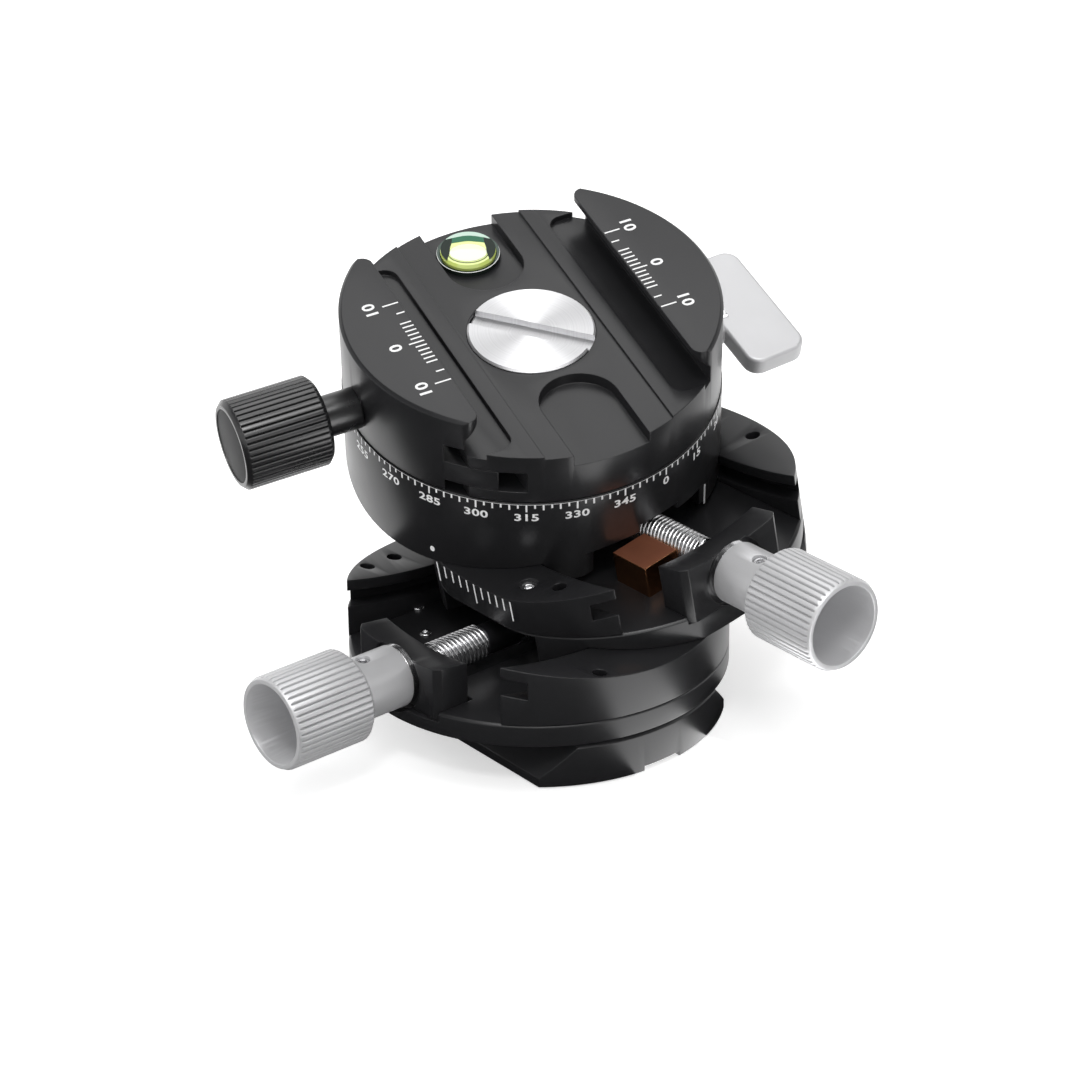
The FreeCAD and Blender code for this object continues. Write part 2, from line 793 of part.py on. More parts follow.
def drive(prefix, frame):
    washer_start = d.counterbore_start + 0.02
    collar_start = washer_start + d.washer_thickness
    # Worm with its journals
    pitch = d.tooth_pitch
    count = int((number(d.worm_end) - number(d.worm_start) - 1.2) / number(pitch))
    worm = turned(prefix + "_worm_body", [
        (0, d.tail_end),
        (d.tail_radius, d.tail_end),
        (d.tail_radius, d.worm_start),
        (d.worm_radius, d.worm_start),
        (d.worm_radius, d.worm_end),
        (d.shaft_radius, d.worm_end),
        (d.shaft_radius, d.collar_end),
        (0, d.collar_end)])
    first = d.worm_start + 0.6
    sketch = new_sketch(worm, "XZ_Plane")
    outline(sketch, [
        (d.worm_root, first + pitch * 0.4),
        (d.worm_root, first + pitch * 0.6),
        (d.worm_radius + 0.1, first + pitch),
        (d.worm_radius + 0.1, first)])
    thread = worm.newObject("PartDesign::Groove", prefix + "_thread")
    thread.Profile = sketch
    thread.ReferenceAxis = (sketch, ["V_Axis"])
    thread.Angle = 360
    doc.recompute()
    along(worm, thread, pitch * (count - 1), count)
    finish(worm, prefix + "_worm", frame)
    # Knob with its collar, bored for the shaft and hollow at the front
    knob = turned(prefix + "_knob_body", [
        (d.shaft_radius + 0.02, collar_start),
        (d.collar_radius, collar_start),
        (d.collar_radius, d.collar_end),
        (d.knob_radius - d.knob_edge, d.collar_end),
        (d.knob_radius, d.collar_end + d.knob_edge),
        (d.knob_radius, d.knob_end - d.knob_edge),
        (d.knob_radius - d.knob_edge / 2, d.knob_end),
        (d.knob_cup_radius, d.knob_end),
        (d.knob_cup_floor_radius, d.knob_cup_floor),
        (0, d.knob_cup_floor),
        (0, d.collar_end + 0.1),
        (d.shaft_radius + 0.02, d.collar_end + 0.1)])
    knurl(knob, d.knob_radius, d.collar_end, d.knob_end - d.knob_edge / 2)
    hole = new_sketch(knob, "XZ_Plane")
    ring(hole, d.set_screw_radius + 0.05, 0, d.set_screw_along)
    drill = knob.newObject("PartDesign::Pocket", prefix + "_set_hole")
    drill.Profile = hole
    bind(drill, "Length", d.collar_radius + 1)
    doc.recompute()
    finish(knob, prefix + "_knob", frame)
    # Set screw that grips the shaft, on the upper side of the collar
    grub = rod(prefix + "_grub", d.set_screw_radius, d.collar_radius - 0.5 - d.shaft_radius,
               "Y", y=d.shaft_radius + 0.03, z=d.set_screw_along)
    socket = hex_socket(prefix + "_grub_socket", 0, d.collar_radius - 1.4,
                        d.set_screw_along, ALONG_Y)
    bind(socket, "Circumradius", d.set_screw_radius * 0.6)
    finish(cut(prefix + "_grub_body", grub, socket), prefix + "_set_screw", frame)
    washer = turned(prefix + "_washer_body", [
        (d.bush_bore, washer_start),
        (d.washer_radius, washer_start),
        (d.washer_radius, collar_start - 0.02),
        (d.bush_bore, collar_start - 0.02)])
    finish(washer, prefix + "_thrust_washer", frame)
    bush = turned(prefix + "_bush_body", [
        (d.bush_bore, d.bush_start),
        (d.bush_radius, d.bush_start),
        (d.bush_radius, d.bush_end),
        (d.bush_bore, d.bush_end)])
    finish(bush, prefix + "_bush", frame)


def rack(name, axis, tip, depth, span, centre, frame):
    # Toothed arc: teeth outwards, cut from a flat profile and given its width
    pitch = number(d.tooth_pitch)
    outer = number(tip)
    inner = outer - number(depth)
    middle = number(centre)
    reach = math.asin(number(span) / outer)
    count = int(2 * reach * outer / pitch)
    points = []
    for i in range(count):
        start = (i - count / 2) * pitch / outer
        for share, sunk in ((0.0, 0.0), (0.4, 0.0), (0.6, 1.0), (0.8, 1.0)):
            angle = start + share * pitch / outer
            radius = outer - sunk * number(d.tooth_depth)
            points.append((radius * math.sin(angle), middle - radius * math.cos(angle)))
    last = (count - count / 2) * pitch / outer
    points.append((outer * math.sin(last), middle - outer * math.cos(last)))
    half = number(d.rack_half)

    def spot(u, z):
        return FreeCAD.Vector(-half, u, z) if axis == "X" else FreeCAD.Vector(u, half, z)

    path = [spot(u, z) for u, z in points]
    edges = [Part.makeLine(path[i], path[i + 1]) for i in range(len(path) - 1)]
    right = spot(inner * math.sin(last), middle - inner * math.cos(last))
    left = spot(-inner * math.sin(last), middle - inner * math.cos(last))
    edges.append(Part.makeLine(path[-1], right))
    edges.append(Part.Arc(right, spot(0, middle - inner), left).toShape())
    edges.append(Part.makeLine(left, path[0]))
    width = FreeCAD.Vector(2 * half, 0, 0) if axis == "X" else FreeCAD.Vector(0, -2 * half, 0)
    solid = Part.Face(Part.Wire(edges)).extrude(width)
    u = number(d.rack_screw_reach)
    z = middle - math.sqrt(outer * outer - u * u)
    for place in (u, -u):
        x = 0 if axis == "X" else place
        y = place if axis == "X" else 0
        foot_point = FreeCAD.Vector(x, y, z - 1)
        solid = solid.cut(Part.makeCylinder(1.05, 6, foot_point))
        solid = solid.cut(Part.makeCylinder(1.85, 2.1, foot_point))
    obj = doc.addObject("Part::Feature", name)
    obj.Shape = solid
    finish(obj, name, frame)
    heads = []
    for i, place in enumerate((u, -u)):
        x = 0 if axis == "X" else place
        y = place if axis == "X" else 0
        label = name + "_screw_" + str(i)
        heads.append(rod(label + "_head", 1.8, 0.7, x=x, y=y, z=z + 0.35))
        heads.append(rod(label + "_shank", 1.0, 2.0, x=x, y=y, z=z + 1.05))
    slots = [block(name + "_slot_" + str(i), x - 1.9, x + 1.9, y - 0.25, y + 0.25, z, z + 0.7)
             for i, (x, y) in enumerate(((0, u), (0, -u)) if axis == "X" else ((u, 0), (-u, 0)))]
    body = cut(name + "_screw_body", fuse(name + "_screw_solid", *heads), *slots)
    finish(body, name.replace("arc_rack", "rack_screws"), frame)
    return z


def rack_holes(name, axis, tip, centre):
    u = number(d.rack_screw_reach)
    z = number(centre) - math.sqrt(number(tip) ** 2 - u * u)
    spots = ((0, u), (0, -u)) if axis == "X" else ((u, 0), (-u, 0))
    return [rod(name + "_" + str(i), 1.05, 2.5, x=x, y=y, z=z + 0.6)
            for i, (x, y) in enumerate(spots)]


def sliding_underside(name, axis, centre, slide, groove_inner, groove_outer, radius, top):
    # Plate above a slide, with two keel legs and the tongues that hook the rails
    gap = d.slide_gap
    room = d.groove_gap
    low = 8
    disc = rod(name + "_disc", radius, top - low, z=low)
    plate = common(name + "_plate", disc,
                   arc_drum(name + "_sole", slide - gap, axis, centre))
    leg_zone = []
    tongue_zone = []
    for side, label in ((1, "right"), (-1, "left")):
        inner = d.leg_inner if side > 0 else -d.leg_outer
        outer = d.leg_outer if side > 0 else -d.leg_inner
        t0 = d.leg_inner if side > 0 else -d.tongue_half
        t1 = d.tongue_half if side > 0 else -d.leg_inner
        reach = d.leg_reach
        if axis == "X":
            leg_zone.append(block(name + "_leg_" + label, inner, outer, -reach, reach,
                                  low, top))
            tongue_zone.append(block(name + "_tongue_" + label, t0, t1, -reach, reach,
                                     low, top))
        else:
            leg_zone.append(block(name + "_leg_" + label, -reach, reach, inner, outer,
                                  low, top))
            tongue_zone.append(block(name + "_tongue_" + label, -reach, reach, t0, t1,
                                     low, top))
    keel = common(name + "_keel", rod(name + "_keel_round", radius, top - low, z=low),
                  fuse(name + "_legs", *leg_zone),
                  arc_drum(name + "_keel_arc", groove_outer - room - 0.1, axis, centre))
    hooks = cut(name + "_hooks",
                common(name + "_hook_zone",
                       rod(name + "_hook_round", radius, top - low, z=low),
                       fuse(name + "_tongues", *tongue_zone),
                       arc_drum(name + "_hook_outer", groove_outer - room, axis, centre)),
                arc_drum(name + "_hook_inner", groove_inner + room, axis, centre))
    return fuse(name + "_joined", plate, keel, hooks)


def rack_channel(name, axis, inner, span, centre, top):
    # Slot that takes the rack
    half = d.rack_channel_half
    reach = span + 0.3
    if axis == "X":
        zone = block(name + "_zone", -half, half, -reach, reach, 5, top)
    else:
        zone = block(name + "_zone", -reach, reach, -half, half, 5, top)
    return cut(name + "_arc", zone, arc_drum(name + "_core", inner, axis, centre))


def middle_plate():
    joined_body = sliding_underside("mid", "X", d.lower_centre, d.lower_slide,
                                    d.lower_groove_inner, d.lower_groove_outer,
                                    d.mid_radius, d.mid_top)
    trimmed = common("mid_trimmed", joined_body,
                     block("mid_chords", -FAR, d.mid_side, -d.mid_front, FAR, 0, 40))
    bevelled = bevel("mid_bevel", trimmed, d.mid_edge, rim(d.mid_radius, d.mid_top))
    channel = rack_channel("mid_channel", "X", d.lower_rack_tip - d.lower_rack_depth,
                           d.lower_rack_reach, d.lower_centre, d.mid_top - 0.8)
    seat = block("mid_seat", d.block_inner, FAR, -d.block_half, d.block_half,
                 d.upper_block_seat, 40)
    relief = rod("mid_washer_relief", d.counterbore_radius, FAR, "X",
                 x=d.counterbore_start, z=d.upper_worm_z)
    rails = [rod("mid_rail_hole_" + str(i), d.small_shank_radius + d.hole_gap,
                 d.mid_top - MID_RAIL_TIP_Z + 1, x=x, y=y, z=MID_RAIL_TIP_Z - d.hole_gap)
             for i, (x, y) in enumerate(MID_RAIL_SPOTS)]
    blocks = screw_holes("mid_block_hole", MID_BLOCK_SPOTS, 5, MID_HEAD_Z, MID_BLOCK_TIP_Z)
    racks = rack_holes("mid_rack_hole", "X", d.lower_rack_tip, d.lower_centre)
    shoe = rod("mid_shoe_hole", d.shoe_pin_radius + d.hole_gap, 3,
               x=(d.shoe_start + d.shoe_end) / 2, y=-d.shoe_far + d.shoe_pin_inset,
               z=d.mid_top - d.shoe_pin_depth)
    finish(cut("mid_body", bevelled, channel, seat, shoe, relief, *rails, *blocks, *racks),
           "mid_plate", MID)
    head_top = MID_RAIL_HEAD_Z + d.small_head_height
    small = fuse("mid_rail_screw_solid",
                 *top_screw_tools("mid_rail_screw", MID_RAIL_SPOTS, head_top, 0))
    sockets = [hex_socket("mid_rail_socket_" + str(i), x, y, head_top - 0.6)
               for i, (x, y) in enumerate(MID_RAIL_SPOTS)]
    for socket in sockets:
        bind(socket, "Circumradius", d.small_head_radius * 0.55)
    finish(cut("mid_rail_screw_body", small, *sockets), "mid_rail_screws", MID)
    screw_set("upper_block_screws", MID_BLOCK_SPOTS, MID_HEAD_Z, MID_BLOCK_TIP_Z, MID)
    rack("lower_arc_rack", "X", d.lower_rack_tip, d.lower_rack_depth,
         d.lower_rack_reach, d.lower_centre, MID)


def mid_rail(name, side, extra):
    inner = d.rail_inner
    low = d.mid_top
    y0 = inner if side > 0 else -d.mid_front
    y1 = FAR if side > 0 else -inner
    blank = common(name + "_blank",
                   rod(name + "_round", d.mid_radius, 14, z=low),
                   block(name + "_side", -FAR, FAR, y0, y1, low - 1, low + 15))
    slide = arc_drum(name + "_slide", d.upper_slide, "Y", d.upper_centre)
    g0 = inner - 1 if side > 0 else -d.rail_groove_half
    g1 = d.rail_groove_half if side > 0 else 1 - inner
    outer = common(name + "_groove_outer",
                   arc_drum(name + "_arc_outer", d.upper_groove_outer, "Y", d.upper_centre),
                   block(name + "_strip", -FAR, FAR, g0, g1, 0, 45))
    groove = cut(name + "_groove", outer,
                 arc_drum(name + "_arc_inner", d.upper_groove_inner, "Y", d.upper_centre))
    spots = [spot for spot in MID_RAIL_SPOTS if spot[1] * side > 0]
    shanks = top_screw_tools(name + "_hole", spots, 36, d.hole_gap)
    tops = [plain_hole(name + "_top_" + str(i), x, y, 36, z, HOLE_RADIUS)
            for i, (x, y, z) in enumerate(extra)]
    finish(cut(name + "_body", blank, slide, groove, *shanks, *tops), name, MID)


def brass_shoe():
    middle = (d.shoe_start + d.shoe_end) / 2
    y = -d.shoe_far + d.shoe_pin_inset
    foot = d.mid_top - d.shoe_pin_depth + 0.5
    tip = foot + d.shoe_pin_length
    blank = block("shoe_blank", d.shoe_start, d.shoe_end, -d.shoe_far, -d.shoe_near,
                  d.mid_top, d.shoe_top)
    hole = rod("shoe_hole", d.shoe_pin_radius + d.hole_gap, tip + 0.6 - d.mid_top + 1,
               x=middle, y=y, z=d.mid_top - 1)
    finish(cut("shoe_body", blank, hole), "upper_brass_shoe", MID)
    shank = rod("shoe_screw_shank", d.shoe_pin_radius, d.shoe_pin_length, x=middle, y=y,
                z=foot)
    slot = block("shoe_screw_slot", middle - 1.0, middle + 1.0, y - 0.2, y + 0.2,
                 tip - 0.5, tip + 0.1)
    finish(cut("shoe_screw_body", shank, slot), "shoe_screw", MID)


def tilt_body():
    body = sliding_underside("pan", "Y", d.upper_centre, d.upper_slide,
                             d.upper_groove_inner, d.upper_groove_outer,
                             d.body_radius, d.body_top)
    bevelled = bevel("pan_bevel", body, d.body_edge, rim(d.body_radius, d.body_top))
    channel = rack_channel("pan_channel", "Y", d.upper_rack_tip - d.upper_rack_depth,
                           d.upper_rack_reach, d.upper_centre, 37)
    half = d.rack_channel_half
    worm_way = cut("pan_worm_way",
                   block("pan_worm_zone", 0, FAR, -half, half, 5, 40),
                   arc_drum("pan_worm_core", d.upper_rack_tip - 0.1, "Y", d.upper_centre))
    drum = rod("pan_drum_bore", d.drum_bore, 10, z=d.drum_floor)
    bore = rod("pan_spindle_bore", d.spindle_bore, 12, z=30)
    recess = rod("pan_retainer_recess", d.retainer_recess, d.retainer_ceiling - 20, z=20)
    racks = rack_holes("pan_rack_hole", "Y", d.upper_rack_tip, d.upper_centre)
    lock = rod("pan_lock_bore", d.lock_bore, FAR, "X", z=d.lock_z)
    azimuth = FreeCAD.Rotation(UP, number(d.lock_azimuth))
    lock.Placement = FreeCAD.Placement(lock.Placement.Base, azimuth.multiply(ALONG_X))
    lock.setExpression("Placement.Base.x", None)
    lock.setExpression("Placement.Base.y", None)
    start = azimuth.multVec(FreeCAD.Vector(number(d.drum_bore) - 1, 0, 0))
    lock.Placement.Base = FreeCAD.Vector(start.x, start.y, number(d.lock_z))
    finish(cut("pan_body", bevelled, channel, worm_way, drum, bore, recess, lock, *racks),
           "pan_housing", TILT)
    rack("upper_arc_rack", "Y", d.upper_rack_tip, d.upper_rack_depth,
         d.upper_rack_reach, d.upper_centre, TILT)
    thrust = turned("pan_ring_body", [
        (d.spindle_bore, d.drum_floor),
        (d.drum_bore - 0.1, d.drum_floor),
        (d.drum_bore - 0.1, d.drum_start - 0.03),
        (d.spindle_bore, d.drum_start - 0.03)])
    finish(thrust, "pan_bearing_ring", TILT)


def pan_lock():
    # Local Z runs outwards along the screw, local Y is close to upright
    azimuth = FreeCAD.Rotation(UP, number(d.lock_azimuth))
    outward = azimuth.multVec(FreeCAD.Vector(1, 0, 0))
    frame = TILT.multiply(knob_frame(outward, d.lock_z))
    roll = FreeCAD.Placement(FreeCAD.Vector(),
                             FreeCAD.Rotation(UP, number(d.lock_roll)))
    shoe = turned("lock_shoe_body", [
        (0, d.drum_radius + 0.25),
        (d.lock_screw_radius, d.drum_radius + 0.25),
        (d.lock_screw_radius, d.lock_shoe_end),
        (0, d.lock_shoe_end)])
    finish(shoe, "pan_brake_shoe", frame)
    turning = frame.multiply(roll)
    screw = turned("lock_screw_body", [
        (0, d.lock_shoe_end + 0.1),
        (d.lock_screw_radius, d.lock_shoe_end + 0.1),
        (d.lock_screw_radius, d.wing_start + 2),
        (0, d.wing_start + 2)])
    finish(screw, "pan_lock_screw", turning)
    blade = block("wing_blade", -d.wing_half, d.wing_half, -d.wing_thickness / 2,
                  d.wing_thickness / 2, d.wing_start, d.wing_end)
    corners = rounded("wing_corners", blade, d.wing_corner,
                      lambda edge: edge.BoundBox.YLength > 1 and edge.BoundBox.XLength < TOL)
    softened = rounded("wing_soft", corners, 0.6,
                       lambda edge: edge.BoundBox.YLength < TOL)
    hub = rod("wing_hub", d.wing_hub_radius, d.wing_start - d.wing_hub_start,
              z=d.wing_hub_start)
    whole = fuse("wing_whole", softened, hub)
    bore = rod("wing_bore", d.lock_screw_radius, d.wing_start + 2 - d.wing_hub_start + 1,
               z=d.wing_hub_start - 1)
    finish(cut("wing_body", whole, bore), "pan_lock_wing", turning)


def jaw_profile(name, root_side, lip, root):
    # Dovetail side of a jaw: an upright lip over a flank that leans outwards
    body = doc.addObject("PartDesign::Body", name)
    sketch = new_sketch(body, "XZ_Plane")
    far = root_side * 40.0
    low = d.relief_floor if root_side > 0 else d.strip_top + d.jaw_gap
    outline(sketch, [
        (root_side * lip, d.jaw_top + 1),
        (root_side * lip, d.jaw_top - d.jaw_lip),
        (root_side * root, d.jaw_root_z),
        (root_side * root, low),
        (far, low),
        (far, d.jaw_top + 1)])
    pad = body.newObject("PartDesign::Pad", name + "_length")
    pad.Profile = sketch
    pad.Midplane = True
    bind(pad, "Length", 2 * d.disc_radius + 4)
    doc.recompute()
    return body


def jaw_tips(name, side, lip):
    # Rounds both tips of a jaw where its lip meets the rim
    small = d.jaw_tip_round
    centre_s = lip + small
    inside = d.disc_radius - small
    centre_t = square_root(inside * inside - centre_s * centre_s)
    edge_s = centre_s * d.disc_radius / inside
    tools = []
    for label, way in (("_far", 1), ("_near", -1)):
        s0 = lip - 2 if side > 0 else -edge_s
        s1 = edge_s if side > 0 else 2 - lip
        t0 = centre_t if way > 0 else -d.disc_radius - 1
        t1 = d.disc_radius + 1 if way > 0 else -centre_t
        zone = block(name + label + "_zone", s0, s1, t0, t1, d.strip_top, d.jaw_top + 1)
        core = rod(name + label + "_core", small, 20, x=side * centre_s, y=way * centre_t,
                   z=d.strip_top - 5)
        tools.append(cut(name + label, zone, core))
    return tools


def end_round(name, s, t, z0, z1):
    return rod(name, d.relief_round, z1 - z0, x=s, y=t, z=z0)


def relief(name, s0, s1):
    # Shallow recess along the root of a jaw, round at its ends
    half = d.relief_half
    low = d.relief_floor
    high = d.strip_top + 1
    deep = d.relief_round
    middle = block(name + "_middle", s0, s1, -half, half, low, high)
    inner = s0 if number(s0) > 0 else s1
    shift = deep if number(s0) > 0 else -deep
    near0 = inner + shift if number(s0) > 0 else s0
    near1 = s1 if number(s0) > 0 else inner + shift
    ends = block(name + "_ends", near0, near1, -half - deep, half + deep, low, high)
    rounds = [end_round(name + "_round_" + str(i), inner + shift, side * half, low, high)
              for i, side in enumerate((1, -1))]
    return [middle, ends] + rounds


def level_pocket(name, side):
    # Pocket across the rim with a round inner end
    low = d.level_pocket_floor
    high = d.strip_top + 1
    radius = (d.pocket_near + d.pocket_far) / 2
    middle = (d.pocket_far - d.pocket_near) / 2 * side
    start = side * d.pocket_round_centre
    far = side * 40.0
    y0 = start if side > 0 else far
    y1 = far if side > 0 else start
    straight = block(name + "_straight", middle - radius, middle + radius, y0, y1, low, high)
    return [straight, rod(name + "_round", radius, high - low, x=middle, y=start, z=low)]


def clamp_disc():
    r = d.disc_radius
    deck = rod("deck", r, d.strip_top - d.disc_bottom, z=d.disc_bottom)
    deck_zone = block("deck_zone", -d.deck_edge, FAR, -FAR, FAR, d.disc_bottom - 1,
                      d.strip_top + 1)
    fixed = common("fixed_jaw_solid",
                   rod("fixed_round", r, d.jaw_top - d.disc_bottom, z=d.disc_bottom),
                   jaw_profile("fixed_profile", 1, d.fixed_jaw, d.fixed_root))
    jaw = cut("fixed_trimmed", bevel("fixed_bevel", fixed, d.disc_edge, rim(r, d.jaw_top)),
              *jaw_tips("fixed_tip", 1, d.fixed_jaw))
    whole = fuse("disc_whole", common("deck_cut", deck, deck_zone), jaw)
    slot = block("slot", -FAR, -d.slot_end, -FAR, FAR, d.slot_bottom, d.slot_top)
    channel = block("channel", -d.channel_half, d.channel_half, -FAR, FAR,
                    d.channel_floor, d.strip_top + 1)
    tools = [slot, channel]
    tools += relief("fixed_relief", d.relief_start, d.fixed_root)
    tools += relief("moving_relief", -FAR, -d.relief_start)
    tools += level_pocket("front_pocket", -1)
    tools += level_pocket("rear_pocket", 1)
    tools.append(rod("centre_seat", d.centre_head_radius + 0.05, 5, z=d.centre_head_bottom))
    tools.append(rod("centre_hole", d.centre_shank_radius + 0.05, 20, z=d.disc_bottom - 1))
    tools.append(rod("level_hole", d.level_cup_radius, 10, x=d.level_s, y=d.level_t,
                     z=d.level_bottom))
    tools.append(rod("screw_hole", d.clamp_screw_radius + 0.06, FAR, "X",
                     x=-FAR - d.clamp_screw_end + 3.2, z=d.clamp_z))
    for i, side in enumerate((1, -1)):
        tools.append(rod("pin_hole_" + str(i), d.pin_radius, d.pin_end - d.pin_start, "X",
                         x=-d.pin_end, y=side * d.pin_t, z=(d.slot_bottom + d.slot_top) / 2))
    finish(cut("clamp_disc_body", whole, *tools), "clamp_body", CLAMP)
    pins = [rod("pin_" + str(i), d.pin_radius, d.pin_end - d.pin_start, "X",
                x=-d.pin_end, y=side * d.pin_t, z=(d.slot_bottom + d.slot_top) / 2)
            for i, side in enumerate((1, -1))]
    finish(fuse("pins_body", *pins), "jaw_guide_pins", CLAMP)


def centre_parts():
    head = turned("centre_screw_body", [
        (0, d.centre_shank_end),
        (d.centre_shank_radius, d.centre_shank_end),
        (d.centre_shank_radius, d.centre_head_bottom),
        (d.centre_head_radius, d.centre_head_bottom),
        (d.centre_head_radius, d.strip_top - 0.3),
        (d.centre_head_radius - 0.3, d.strip_top),
        (0, d.strip_top)])
    slot = new_sketch(head, "XY_Plane", d.strip_top)
    reach = number(d.centre_head_radius) + 2
    half = number(d.centre_slot_half)
    turn = math.radians(number(d.centre_slot_turn))
    c = math.cos(turn)
    s = math.sin(turn)
    corners = ((reach, half), (-reach, half), (-reach, -half), (reach, -half))
    outline(slot, [(u * c - v * s, u * s + v * c) for u, v in corners])
    pocket(head, slot, d.centre_slot_depth)
    finish(head, "centre_screw", CLAMP)
    spindle = turned("spindle_body", [
        (0, d.spindle_end),
        (d.retainer_neck, d.spindle_end),
        (d.retainer_neck, d.retainer_top),
        (d.spindle_radius, d.retainer_top),
        (d.spindle_radius, d.drum_start),
        (d.drum_radius, d.drum_start),
        (d.drum_radius, d.disc_bottom),
        (d.centre_shank_radius + 0.02, d.disc_bottom),
        (d.centre_shank_radius + 0.02, d.centre_shank_end - 0.4),
        (0, d.centre_shank_end - 0.4)])
    finish(spindle, "pan_spindle", CLAMP)
    retainer = turned("retainer_body", [
        (d.retainer_neck, d.retainer_bottom),
        (d.retainer_radius, d.retainer_bottom),
        (d.retainer_radius, d.retainer_top),
        (d.retainer_neck, d.retainer_top)])
    finish(retainer, "pan_retainer", CLAMP)
    cup = turned("level_cup_body", [
        (0, d.level_bottom),
        (d.level_cup_radius, d.level_bottom),
        (d.level_cup_radius, d.level_cup_top),
        (d.level_cup_bore, d.level_cup_top),
        (d.level_cup_bore, d.level_bottom + 0.6),
        (0, d.level_bottom + 0.6)])
    spot = FreeCAD.Placement(
        FreeCAD.Vector(number(d.level_s), number(d.level_t), 0), STRAIGHT)
    finish(cup, "level_cup", CLAMP.multiply(spot))
    vial = turned("level_vial_body", [
        (0, d.level_bottom + 0.6),
        (d.level_vial_radius, d.level_bottom + 0.6),
        (d.level_vial_radius, d.level_vial_top - 0.4),
        (d.level_vial_radius - 0.4, d.level_vial_top),
        (0, d.level_vial_top)])
    finish(vial, "level_vial", CLAMP.multiply(spot))


def moving_jaw():
    r = d.disc_radius
    shift = d.jaw_gap
    full = block("moving_full", -FAR, -d.moving_full, -FAR, FAR, d.disc_bottom, d.jaw_top)
    tongue = block("moving_tongue", -FAR, -d.tongue_end, -FAR, FAR,
                   d.slot_bottom + shift, d.slot_top - shift)
    lip = jaw_profile("moving_profile", -1, d.moving_jaw, d.moving_root)
    solid = common("moving_solid",
                   rod("moving_round", r, d.jaw_top - d.disc_bottom, z=d.disc_bottom),
                   fuse("moving_parts", full, tongue, lip))
    bevelled = bevel("moving_bevel", solid, d.disc_edge, rim(r, d.jaw_top))
    tools = jaw_tips("moving_tip", -1, d.moving_jaw)
    tools.append(rod("moving_screw_hole", d.clamp_screw_radius + 0.06, FAR, "X", x=-FAR,
                     z=d.clamp_z))
    for i, side in enumerate((1, -1)):
        tools.append(rod("moving_pin_hole_" + str(i), d.pin_radius + 0.08,
                         d.pin_end + 2.6 - d.tongue_end + 1, "X", x=-d.pin_end - 2.6,
                         y=side * d.pin_t, z=(d.slot_bottom + d.slot_top) / 2))
    finish(cut("moving_body", bevelled, *tools), "movable_jaw", CLAMP)


def clamp_knob():
    screw = turned("clamp_screw_body", [
        (0, d.clamp_screw_end),
        (d.clamp_screw_radius, d.clamp_screw_end),
        (d.clamp_screw_radius, d.clamp_knob_end - 5),
        (0, d.clamp_knob_end - 5)])
    finish(screw, "clamp_screw", CLAMP_AXIS)
    collar = d.disc_radius + 0.1
    knob = turned("clamp_knob_body", [
        (d.clamp_screw_radius, collar),
        (d.clamp_collar_radius, collar),
        (d.clamp_collar_radius, d.clamp_knob_start),
        (d.clamp_knob_radius - d.knob_edge, d.clamp_knob_start),
        (d.clamp_knob_radius, d.clamp_knob_start + d.knob_edge),
        (d.clamp_knob_radius, d.clamp_knob_end - d.knob_edge),
        (d.clamp_knob_radius - d.knob_edge, d.clamp_knob_end),
        (d.clamp_cap_radius, d.clamp_knob_end),
        (d.clamp_cap_radius, d.clamp_knob_end - d.clamp_cap_depth),
        (0, d.clamp_knob_end - d.clamp_cap_depth),
        (0, d.clamp_knob_end - 5),
        (d.clamp_screw_radius, d.clamp_knob_end - 5)])
    knurl(knob, d.clamp_knob_radius, d.clamp_knob_start, d.clamp_knob_end - d.knob_edge)
    finish(knob, "clamp_knob", CLAMP_AXIS)
    cap = turned("clamp_cap_body", [
        (0, d.clamp_knob_end - d.clamp_cap_depth),
        (d.clamp_cap_radius, d.clamp_knob_end - d.clamp_cap_depth),
        (d.clamp_cap_radius, d.clamp_knob_end - 0.1),
        (0, d.clamp_knob_end - 0.1)])
    finish(cap, "clamp_knob_cap", CLAMP_AXIS)


def write_parts():
    doc.recompute()
    failed = [obj.Name for obj in doc.Objects
              if "Invalid" in obj.State or "Error" in obj.State]
    if failed:
        raise RuntimeError("not computed: " + ", ".join(failed))
    for name, obj in nodes:
        if obj.Shape.isNull() or not obj.Shape.isValid():
            raise RuntimeError("bad shape: " + name)
    os.makedirs("parts", exist_ok=True)
    for name, obj in nodes:
        obj.Shape.exportStep("parts/" + name + ".step")
        print(name, len(obj.Shape.Solids), round(obj.Shape.Volume, 1))


foot()
lower_plate()
lower_rail("lower_rail_left", -1, [(-24.5, -9.5, 14.0), (-23.3, -15.8, 14.0)])
lower_rail("lower_rail_right", 1, [(26.2, -10.0, 14.0)])
lower_block()
tail_block("lower_tail_bearing", "Y", d.plate_top, d.lower_worm_z, None)
drive("lower", LOWER_AXIS)
middle_plate()
mid_rail("mid_rail_front", -1, [(12.5, -21.6, 26.8)])
mid_rail("mid_rail_rear", 1, [(5.0, 26.0, 25.0)])
upper_block()
tail_block("upper_tail_bearing", "X", d.mid_top, d.upper_worm_z, MID)
brass_shoe()
drive("upper", UPPER_AXIS)
tilt_body()
pan_lock()
clamp_disc()
centre_parts()
moving_jaw()
clamp_knob()
write_parts()
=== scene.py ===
"""Panoramic tripod head: finishes, printed scales, level, camera and studio.

Metres, +Z up, in the frame of the solid model: the origin is on the main axis at
the underside of the foot, the lower knob points along -Y and the upper along +X.
"""

import json
import logging
import math
from dataclasses import dataclass, field
from enum import Enum
from typing import Callable, Dict, List, Optional, Sequence, Tuple, Union

import bmesh
import bpy
from bpy.types import ID, Material, Mesh, Node, NodeSocket, NodeTree, Object
from mathutils import Matrix, Vector

